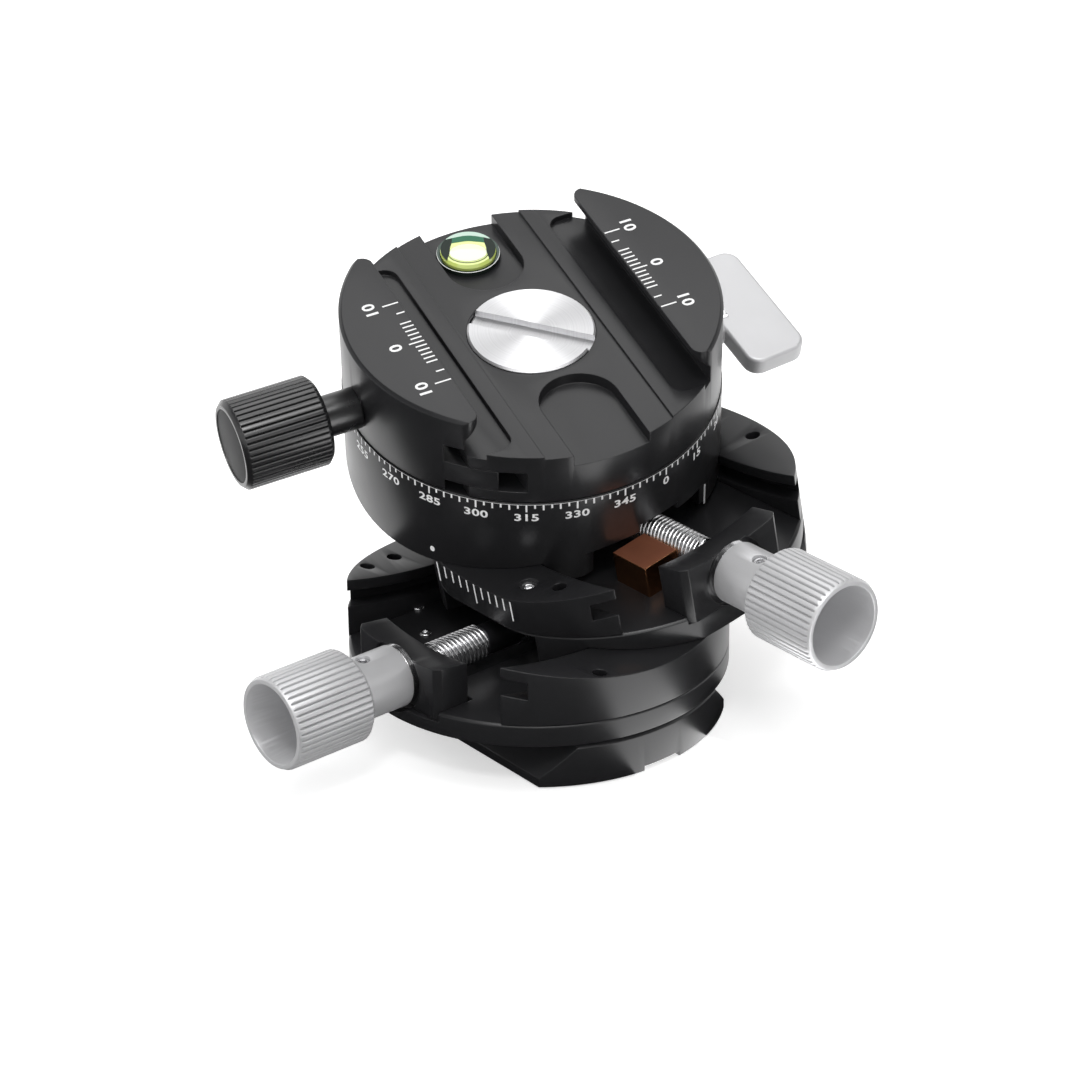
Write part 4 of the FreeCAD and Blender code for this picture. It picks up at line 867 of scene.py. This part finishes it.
# Stage, finish, slot and bevel width of the bevelled copies that aren't black
METAL_SKINS: Dict[str, Tuple[Stage, str, str, float]] = {
    "lower_knob": (Stage.LOWER_DRIVE, "grey", "blasted_grey", 0.10),
    "upper_knob": (Stage.UPPER_DRIVE, "grey", "blasted_grey", 0.10),
    "pan_lock_wing": (Stage.LOCK, "wing", "blasted_grey", 0.5),
    "clamp_knob": (Stage.KNOB, "knob_black", "anodised_black", 0.10),
    "clamp_knob_cap": (Stage.KNOB, "matt_black", "anodised_black", 0.10),
}

BLACK_NODES: Dict[str, Stage] = {name: stage for stage, names in (
    (Stage.BASE, ("base_foot", "lower_plate", "lower_rail_left", "lower_rail_right",
                  "lower_bearing_block", "lower_tail_bearing")),
    (Stage.MID, ("mid_plate", "mid_rail_front", "mid_rail_rear", "upper_bearing_block",
                 "upper_tail_bearing")),
    (Stage.TILT, ("pan_housing",)),
    (Stage.CLAMP, ("clamp_body",)),
    (Stage.JAW, ("movable_jaw",))) for name in names}


@dataclass
class Shell:
    """The solid nodes: bevelled copies of the larger ones, finishes on the rest."""

    nodes: Dict[str, Object]
    palette: Palette
    edges: SoftEdges = field(default_factory=SoftEdges)

    def _skin(self, name: str, finish: Material, stage: Stage, slot: str,
              width: Optional[float] = None) -> None:
        """Puts a bevelled copy in place of a node.

        Args:
            name: Name of the node.
            finish: The copy's finish.
            stage: The stage that carries it.
            slot: The record's material slot; not used.
            width: Bevel width in millimetres, or None for the usual one.
        """
        mesh = self.edges.copy(self.nodes[name], name + "_skin", width)
        skin = add_piece(name + "_skin", mesh, finish, stage)
        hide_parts(name)

    def dress(self) -> None:
        """Dresses every node."""
        p = self.palette
        for name, stage in BLACK_NODES.items():
            self._skin(name, p.black, stage, "anodised_black")
        for name, (stage, finish, slot, width) in METAL_SKINS.items():
            self._skin(name, getattr(p, finish), stage, slot, width)
        finishes = {
            "lower_arc_rack": p.brass, "upper_arc_rack": p.brass,
            "upper_brass_shoe": p.brass, "pan_brake_shoe": p.brass,
            "lower_bush": p.dark_steel, "upper_bush": p.dark_steel,
            "pan_bearing_ring": p.bronze, "level_cup": p.cup, "level_vial": p.fluid,
        }
        for name, node in self.nodes.items():
            if name in BLACK_NODES or name in METAL_SKINS:
                continue
            for spare in node.material_slots:
                spare.material = finishes.get(name, p.steel)


@dataclass
class SmallTrim:
    """The shoe's milled top and two small screw heads beside the lower worm."""

    palette: Palette
    shoe: Tuple[float, float, float, float] = (11.25, 18.65, -9.65, -3.2)
    shoe_z: float = 27.815
    heads: Tuple[Tuple[float, float], ...] = ((-19.1, -9.2), (-11.4, -13.8))
    head_z: float = 10.97
    # Radius and height of the head's rim, bevel and socket
    head_profile: Tuple[Tuple[float, float], ...] = (
        (1.0, 0.0), (1.0, 0.231), (0.75, 0.42), (0.42, 0.42), (0.38, 0.126))
    around: int = 24
    smooth: float = 40.0

    def build(self) -> None:
        """Builds the face and the heads."""
        face = Strokes(flat(GEOMETRY.mid(), self.shoe_z))
        face.bar(*self.shoe)
        face.lay("shoe_face", self.palette.shoe_top, Stage.MID)
        points: List[Vector] = []
        faces: List[Sequence[int]] = []
        for x, y in self.heads:
            place = Matrix.Translation(Vector((x, y, self.head_z)) * MM)
            ring, quads = turned(place, self.head_profile, self.around)
            first = len(points)
            points += ring
            faces += [tuple(first + i for i in quad) for quad in quads]
            faces.append(tuple(range(len(points) - self.around, len(points))))
        mesh = mesh_from("plate_screw_heads", points, faces)
        shade_by_angle(mesh, self.smooth)
        add_piece("plate_screw_heads", mesh, self.palette.steel, Stage.BASE)


@dataclass
class DegreeDial:
    """The 360 degree scale round the graduated body."""

    palette: Palette
    radius: float = 30.02
    top: float = 43.82
    zero: float = 2.1
    step: float = 2.5
    long_tick: float = 1.5
    medium_tick: float = 1.15
    short_tick: float = 0.8
    stroke: float = 0.29
    numeral: float = 1.5
    numeral_z: float = 41.2
    stretch: float = 1.26
    # Width of the white top line. It is print and also part of the painted highlight of the
    # housing's top edge.
    line: float = 0.07
    line_steps: int = 180
    numbered: int = 6

    def build(self) -> None:
        """Prints the top line, which also stands as a painted highlight of the top edge, the ticks
        and the numerals.
        """
        strokes = Strokes(drum(GEOMETRY.tilt(), self.radius, math.radians(self.zero)))
        # The top line: print, and part of the painted highlight of the top edge.
        strokes.bar(0.0, math.tau * self.radius, self.top - self.line, self.top,
                    self.line_steps)
        for i in range(round(360 / self.step)):
            degrees = i * self.step
            u = math.radians(degrees) * self.radius
            if i % self.numbered == 0:
                length = self.long_tick
                strokes.text(str(round(degrees)), u, self.numeral_z, self.numeral,
                             self.stretch)
            else:
                length = self.short_tick if i % 2 else self.medium_tick
            strokes.bar(u - self.stroke / 2, u + self.stroke / 2, self.top - length, self.top)
        strokes.lay("degree_scale", self.palette.white, Stage.TILT)


@dataclass
class TiltMarks:
    """The eleven ticks of the lower tilt, its index dot and the upper index line."""

    palette: Palette
    face_y: float = -28.43
    centre_x: float = -0.4
    spacing: float = 1.778
    ticks: int = 11
    numbered: int = 5
    long_tick: float = 3.6
    short_tick: float = 2.2
    stroke: float = 0.32
    margin: float = 0.15
    rail_radius: float = 83.7
    body_radius: float = 30.02
    dot_bearing: float = math.atan2(-28.6, 9.0)
    dot_z: float = 30.7
    dot_half: Tuple[float, float] = (0.42, 0.55)
    dot_corners: int = 20
    index_x: float = 27.04
    index: Tuple[float, float, float, float] = (12.15, 12.5, 27.2, 31.4)

    def _rail_top(self, x: float) -> float:
        """Returns the height of the front rail's upper edge at x."""
        return GEOMETRY.upper_centre - math.sqrt(self.rail_radius ** 2 - x * x)

    def build(self) -> None:
        """Prints the marks."""
        white, mid, tilt = self.palette.white, GEOMETRY.mid(), GEOMETRY.tilt()
        ticks = Strokes(lambda u, v: mid @ (Vector((u, self.face_y, v)) * MM))
        for i in range(self.ticks):
            x = self.centre_x + (i - self.ticks // 2) * self.spacing
            top = self._rail_top(x) - self.margin
            length = self.short_tick if i % self.numbered else self.long_tick
            ticks.bar(x - self.stroke / 2, x + self.stroke / 2, top - length, top)
        ticks.lay("lower_tilt_scale", white, Stage.MID)
        dot = Strokes(drum(tilt, self.body_radius, self.dot_bearing))
        half_u, half_v = self.dot_half
        angles = [k * math.tau / self.dot_corners for k in range(self.dot_corners)]
        dot.shape([(half_u * math.cos(a), self.dot_z + half_v * math.sin(a)) for a in angles])
        dot.lay("lower_tilt_index", white, Stage.TILT)
        line = Strokes(lambda u, v: tilt @ (Vector((self.index_x, u, v)) * MM))
        line.bar(*self.index)
        line.lay("upper_tilt_index", white, Stage.TILT)


@dataclass
class JawScale:
    """One jaw's centring scale: ticks from the lip and the numerals 10 0 10."""

    palette: Palette
    name: str
    stage: Stage
    side: int
    lip: float
    numeral_s: float
    shift_t: float
    height: float = 58.83
    stroke: float = 0.30
    margin: float = 0.25
    tick: float = 2.1
    numeral: float = 2.05
    stretch: float = 1.2
    ticks: Tuple[float, ...] = (-10.0, -7.5, -5.0, -4.0, -3.0, -2.0, -1.0, 0.0, 1.0, 2.0,
                                3.0, 4.0, 5.0, 7.5, 10.0)
    lengths: Tuple[Tuple[float, float], ...] = ((0.0, 2.8), (7.5, 1.6), (10.0, 2.9))
    labels: Tuple[Tuple[str, float], ...] = (("10", 10.2), ("0", 0.1), ("10", -10.2))

    def build(self) -> None:
        """Prints the scale."""
        strokes = Strokes(flat(GEOMETRY.clamp(), self.height))
        lengths = dict(self.lengths)
        for t in self.ticks:
            length = lengths.get(abs(t), self.tick)
            s0, s1 = sorted((self.side * (self.lip + self.margin),
                             self.side * (self.lip + length)))
            strokes.bar(s0, s1, t - self.stroke / 2 + self.shift_t,
                        t + self.stroke / 2 + self.shift_t)
        turn = -90.0 * self.side
        for label, t in self.labels:
            strokes.text(label, self.side * self.numeral_s, t + self.shift_t, self.numeral,
                         self.stretch, turn)
        strokes.lay(self.name, self.palette.white, self.stage)


@dataclass
class BubbleLevel:
    """What is seen inside the vial: painted shade on the far and side walls, a painted reflection
    on the clear far wall, a painted highlight on the near rim, the bubble and the sighting circle.
    """

    palette: Palette
    centre: Tuple[float, float] = (-0.3, 23.2)
    top: float = 52.53
    away: float = 66.5
    near_shift: float = 0.95
    circle: Tuple[float, float] = (3.25, 2.55)
    bubble: Tuple[float, float] = (3.0, 2.2)
    bubble_half: float = 0.10
    band_steps: int = 48
    circle_lift: float = 0.010
    circle_half: float = 0.07
    circle_steps: int = 40
    # Start of the drawn part of the circle and its length, in half turns
    circle_arc: Tuple[float, float] = (0.42, 1.16)

    def _band(self, name: str, inner: float, outer: float, turn: float, half: float,
              lift: float, material: Material) -> None:
        """Adds a flat crescent round the vial's axis.

        Args:
            name: Name of the piece.
            inner: Inner radius at the middle of the band, in millimetres.
            outer: Outer radius in millimetres.
            turn: Bearing of its middle from the far side, in degrees.
            half: Half of its angle in degrees.
            lift: Height over the vial's face in millimetres.
            material: Its finish.
        """
        band = Strokes(flat(GEOMETRY.clamp(), self.top + lift))
        s, t = self.centre

        def edge(number: int) -> Tuple[float, float, float]:
            """Returns a step's cosine and sine and the band's inner radius there."""
            way = 2 * number / self.band_steps - 1
            angle = math.radians(self.away + turn + half * way)
            return math.cos(angle), math.sin(angle), inner + (outer - inner) * abs(way) ** 3

        for i in range(self.band_steps):
            ca, sa, ra = edge(i)
            cb, sb, rb = edge(i + 1)
            band.shape([(s + ra * ca, t + ra * sa), (s + outer * ca, t + outer * sa),
                        (s + outer * cb, t + outer * sb), (s + rb * cb, t + rb * sb)])
        band.lay(name, material, Stage.CLAMP)

    def _oval(self) -> Matrix:
        """Returns the frame of the bubble: X from the far side, Y across."""
        turn = Matrix.Rotation(math.radians(self.away), 4, "Z")
        shift = turn @ Vector((-self.near_shift, 0.0, 0.0))
        place = Vector((self.centre[0] + shift.x, self.centre[1] + shift.y, self.top))
        return GEOMETRY.clamp() @ Matrix.Translation(place * MM) @ turn

    def build(self) -> None:
        """Builds the walls' painted shade and painted reflection, the rim's painted highlight, the
        circle and the bubble.
        """
        p = self.palette
        # Painted shade: a dark green band on the vial's far inner wall.
        self._band("level_far_wall_painted_shade", 2.0, 3.9, 0.0, 74.0, 0.004, p.green)
        # Painted shade: near-black bands on the vial's left and right walls.
        self._band("level_left_wall_painted_shade", 2.9, 4.42, 82.0, 48.0, 0.006, p.ring)
        self._band("level_right_wall_painted_shade", 2.9, 4.42, -82.0, 48.0, 0.006, p.ring)
        # Painted reflection: a pale band where the clear far wall catches light.
        self._band("level_clear_wall_painted_reflection", 3.35, 4.35, 0.0, 56.0, 0.012, p.glass)
        # Painted highlight: a thin white crescent on the cup's near lower rim.
        self._band("level_rim_painted_highlight", 4.93, 5.08, 180.0, 112.0, -0.80, p.white)
        oval = self._oval()
        arc = Strokes(flat(oval, self.circle_lift))
        wide, far = self.circle
        start, length = self.circle_arc
        d = self.circle_half
        for i in range(self.circle_steps):
            a, b = (math.pi * (start + length * (i + k) / self.circle_steps) for k in (0, 1))
            arc.shape([((far + e) * math.cos(c), (wide + e) * math.sin(c))
                       for c, e in ((a, -d), (a, d), (b, d), (b, -d))])
        arc.lay("level_circle", p.ring, Stage.CLAMP)
        blob = bmesh.new()
        bmesh.ops.create_uvsphere(blob, u_segments=32, v_segments=16, radius=1.0)
        wide, far = self.bubble
        size = Matrix.Diagonal((far * MM, wide * MM, self.bubble_half * MM, 1.0))
        bmesh.ops.transform(blob, matrix=oval @ size, verts=blob.verts)
        mesh = bpy.data.meshes.new("level_bubble")
        blob.to_mesh(mesh)
        blob.free()
        mesh.polygons.foreach_set("use_smooth", [True] * len(mesh.polygons))
        add_piece("level_bubble", mesh, p.bubble, Stage.CLAMP)


@dataclass
class Worm:
    """A cut worm thread in place of the solid's plain grooves."""

    palette: Palette
    name: str
    node: str
    stage: Stage
    frame: Matrix
    crest: float = 2.83
    root: float = 2.22
    pitch: float = 0.8
    starts: int = 4
    first: float = -5.0
    last: float = 21.4
    shaft: float = 2.25
    tail: float = 2.0
    tail_end: float = -9.2
    shaft_end: float = 37.6
    # Heights of a plain stub with a dark finish in place of the thread. The dark finish is painted
    # shade for the shadow under the mid plate.
    sleeve: Optional[Tuple[float, float]] = None
    # Shape of a tooth: where its flank starts and how wide it is, as shares of a pitch
    flank: Tuple[float, float] = (0.25, 0.4)
    around: int = 56
    rows_per_pitch: int = 8
    smooth: float = 50.0
    sleeve_around: int = 40
    sleeve_edge: float = 0.35
    sleeve_smooth: float = 30.0

    def _radius(self, z: float, angle: float) -> float:
        """Returns the thread's radius at a height and an angle."""
        lead = self.pitch * self.starts
        if self.sleeve and self.sleeve[0] < z < self.sleeve[1]:
            return self.tail
        phase = ((z - lead * angle / math.tau) / self.pitch) % 1.0
        ramp = abs(phase - 0.5) * 2.0
        start, width = self.flank
        tooth = min(1.0, max(0.0, (ramp - start) / width))
        return self.root + (self.crest - self.root) * tooth

    def build(self) -> None:
        """Builds the worm with its journals."""
        steps = int((self.last - self.first) / self.pitch * self.rows_per_pitch)
        rows: List[Tuple[Radius, float]] = [(self.tail, self.tail_end),
                                            (self.tail, self.first)]
        rows += [(self._radius, self.first + (self.last - self.first) * i / steps)
                 for i in range(steps + 1)]
        rows += [(self.shaft, self.last), (self.shaft, self.shaft_end)]
        points, faces = turned(self.frame, rows, self.around)
        faces.append(tuple(reversed(range(self.around))))
        faces.append(tuple(range(len(points) - self.around, len(points))))
        mesh = mesh_from(self.name, points, faces)
        shade_by_angle(mesh, self.smooth)
        piece = add_piece(self.name, mesh, self.palette.steel, self.stage)
        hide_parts(self.node)
        # Painted shade: the dark stub stands for the thread in the shadow under the mid plate.
        if self.sleeve:
            self._dark_sleeve()

    def _dark_sleeve(self) -> None:
        """Builds the plain journal that follows the visible thread. Its dark finish is painted
        shade for the thread running into the shadow under the mid plate.
        """
        start, end = self.sleeve
        edge = self.sleeve_edge
        outer = self.crest - edge
        profile = [(self.tail, start), (outer - edge, start), (outer, start + edge),
                   (outer, end - edge), (outer - edge, end), (self.tail, end)]
        points, faces = turned(self.frame, profile, self.sleeve_around)
        name = self.name + "_sleeve"
        mesh = mesh_from(name, points, faces)
        shade_by_angle(mesh, self.sleeve_smooth)
        add_piece(name, mesh, self.palette.dark_steel, self.stage)


@dataclass
class CentreScrew:
    """The slotted head in the middle of the clamp, with turned rings."""

    groups: NodeGroups
    radius: float = 10.05
    bottom: float = 50.65
    top: float = 53.3
    slot_half: float = 1.65
    slot_depth: float = 1.15
    slot_turn: float = -43.7
    rim: float = 0.3
    steps: int = 64
    rings: int = 14
    colour: Colour = (0.62, 0.62, 0.63, 1.0)

    def build(self) -> None:
        """Builds the head with its marks running round its own axis."""
        clamp = GEOMETRY.clamp()
        finish = TurnedFinish("turned_screw_face", self.colour, roughness=0.42,
                              pitch=0.00025, depth=0.2, bump=0.12,
                              anisotropy=0.93).build(self.groups, clamp)
        turn = Matrix.Rotation(math.radians(self.slot_turn), 4, "Z")
        points: List[Vector] = []
        faces: List[List[int]] = []
        polar: List[Tuple[float, float]] = []

        def corner(x: float, y: float, z: float) -> int:
            """Adds a corner and returns its number."""
            spot = turn @ Vector((x, y, 0.0))
            points.append(clamp @ (Vector((spot.x, spot.y, z)) * MM))
            polar.append((math.atan2(spot.y, spot.x), math.hypot(x, y)))
            return len(points) - 1

        half = self.slot_half
        inner = self.radius - self.rim
        start = math.asin(half / self.radius)
        for side in (1, -1):
            grid = []
            for i in range(self.steps + 1):
                angle = start + (math.pi - 2 * start) * i / self.steps
                c, s = math.cos(angle), math.sin(angle)
                row = []
                for k in range(self.rings + 1):
                    share = k / self.rings
                    y = half + (inner * s - half) * share
                    row.append(corner(inner * c * share, side * y, self.top))
                for z in (self.top - self.rim, self.bottom):
                    row.append(corner(self.radius * c, side * self.radius * s, z))
                grid.append(row)
            for i in range(self.steps):
                for k in range(len(grid[0]) - 1):
                    quad = [grid[i][k], grid[i][k + 1], grid[i + 1][k + 1], grid[i + 1][k]]
                    faces.append(quad if side > 0 else quad[::-1])
        x = math.sqrt(self.radius ** 2 - half ** 2)
        low = self.top - self.slot_depth
        for side in (1, -1):
            wall = [corner(-x, side * half, self.top), corner(x, side * half, self.top),
                    corner(x, side * half, low), corner(-x, side * half, low)]
            faces.append(wall if side > 0 else wall[::-1])
        faces.append([corner(-x, -half, low), corner(x, -half, low), corner(x, half, low),
                      corner(-x, half, low)])
        mesh = mesh_from("centre_screw_head", points, faces)
        layer = mesh.uv_layers.new(name="turning")
        for polygon in mesh.polygons:
            base = polar[mesh.loops[polygon.loop_start].vertex_index][0]
            for i in polygon.loop_indices:
                angle, radius = polar[mesh.loops[i].vertex_index]
                angle -= round((angle - base) / math.tau) * math.tau
                layer.data[i].uv = (angle, radius / self.radius)
        head = add_piece("centre_screw_head", mesh, finish, Stage.CLAMP)
        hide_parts("centre_screw")


def main() -> None:
    """Builds the dressed head, its camera and its studio."""
    logging.basicConfig(level=logging.INFO, format="%(name)s: %(message)s")
    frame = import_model()
    groups = NodeGroups()
    palette = Palette(groups)
    PhotoCamera().build()
    Studio().build()
    Shell(frame["nodes"], palette).dress()
    SmallTrim(palette).build()
    DegreeDial(palette).build()
    TiltMarks(palette).build()
    JawScale(palette, "fixed_jaw_scale", Stage.CLAMP, 1, 17.4, 21.94, 0.2).build()
    JawScale(palette, "moving_jaw_scale", Stage.JAW, -1, 18.3, 23.26, -1.1).build()
    BubbleLevel(palette).build()
    lower = GEOMETRY.drive(Matrix.Identity(4), (0.0, -1.0, 0.0), GEOMETRY.lower_worm_z)
    upper = GEOMETRY.drive(GEOMETRY.mid(), (1.0, 0.0, 0.0), GEOMETRY.upper_worm_z)
    # The lower worm's dark stub is painted shade.
    Worm(palette, "lower_worm_thread", "lower_worm", Stage.LOWER_DRIVE, lower,
         sleeve=(5.0, 12.2)).build()
    Worm(palette, "upper_worm_thread", "upper_worm", Stage.UPPER_DRIVE, upper).build()
    CentreScrew(groups).build()


if __name__ == "__main__":
    main()
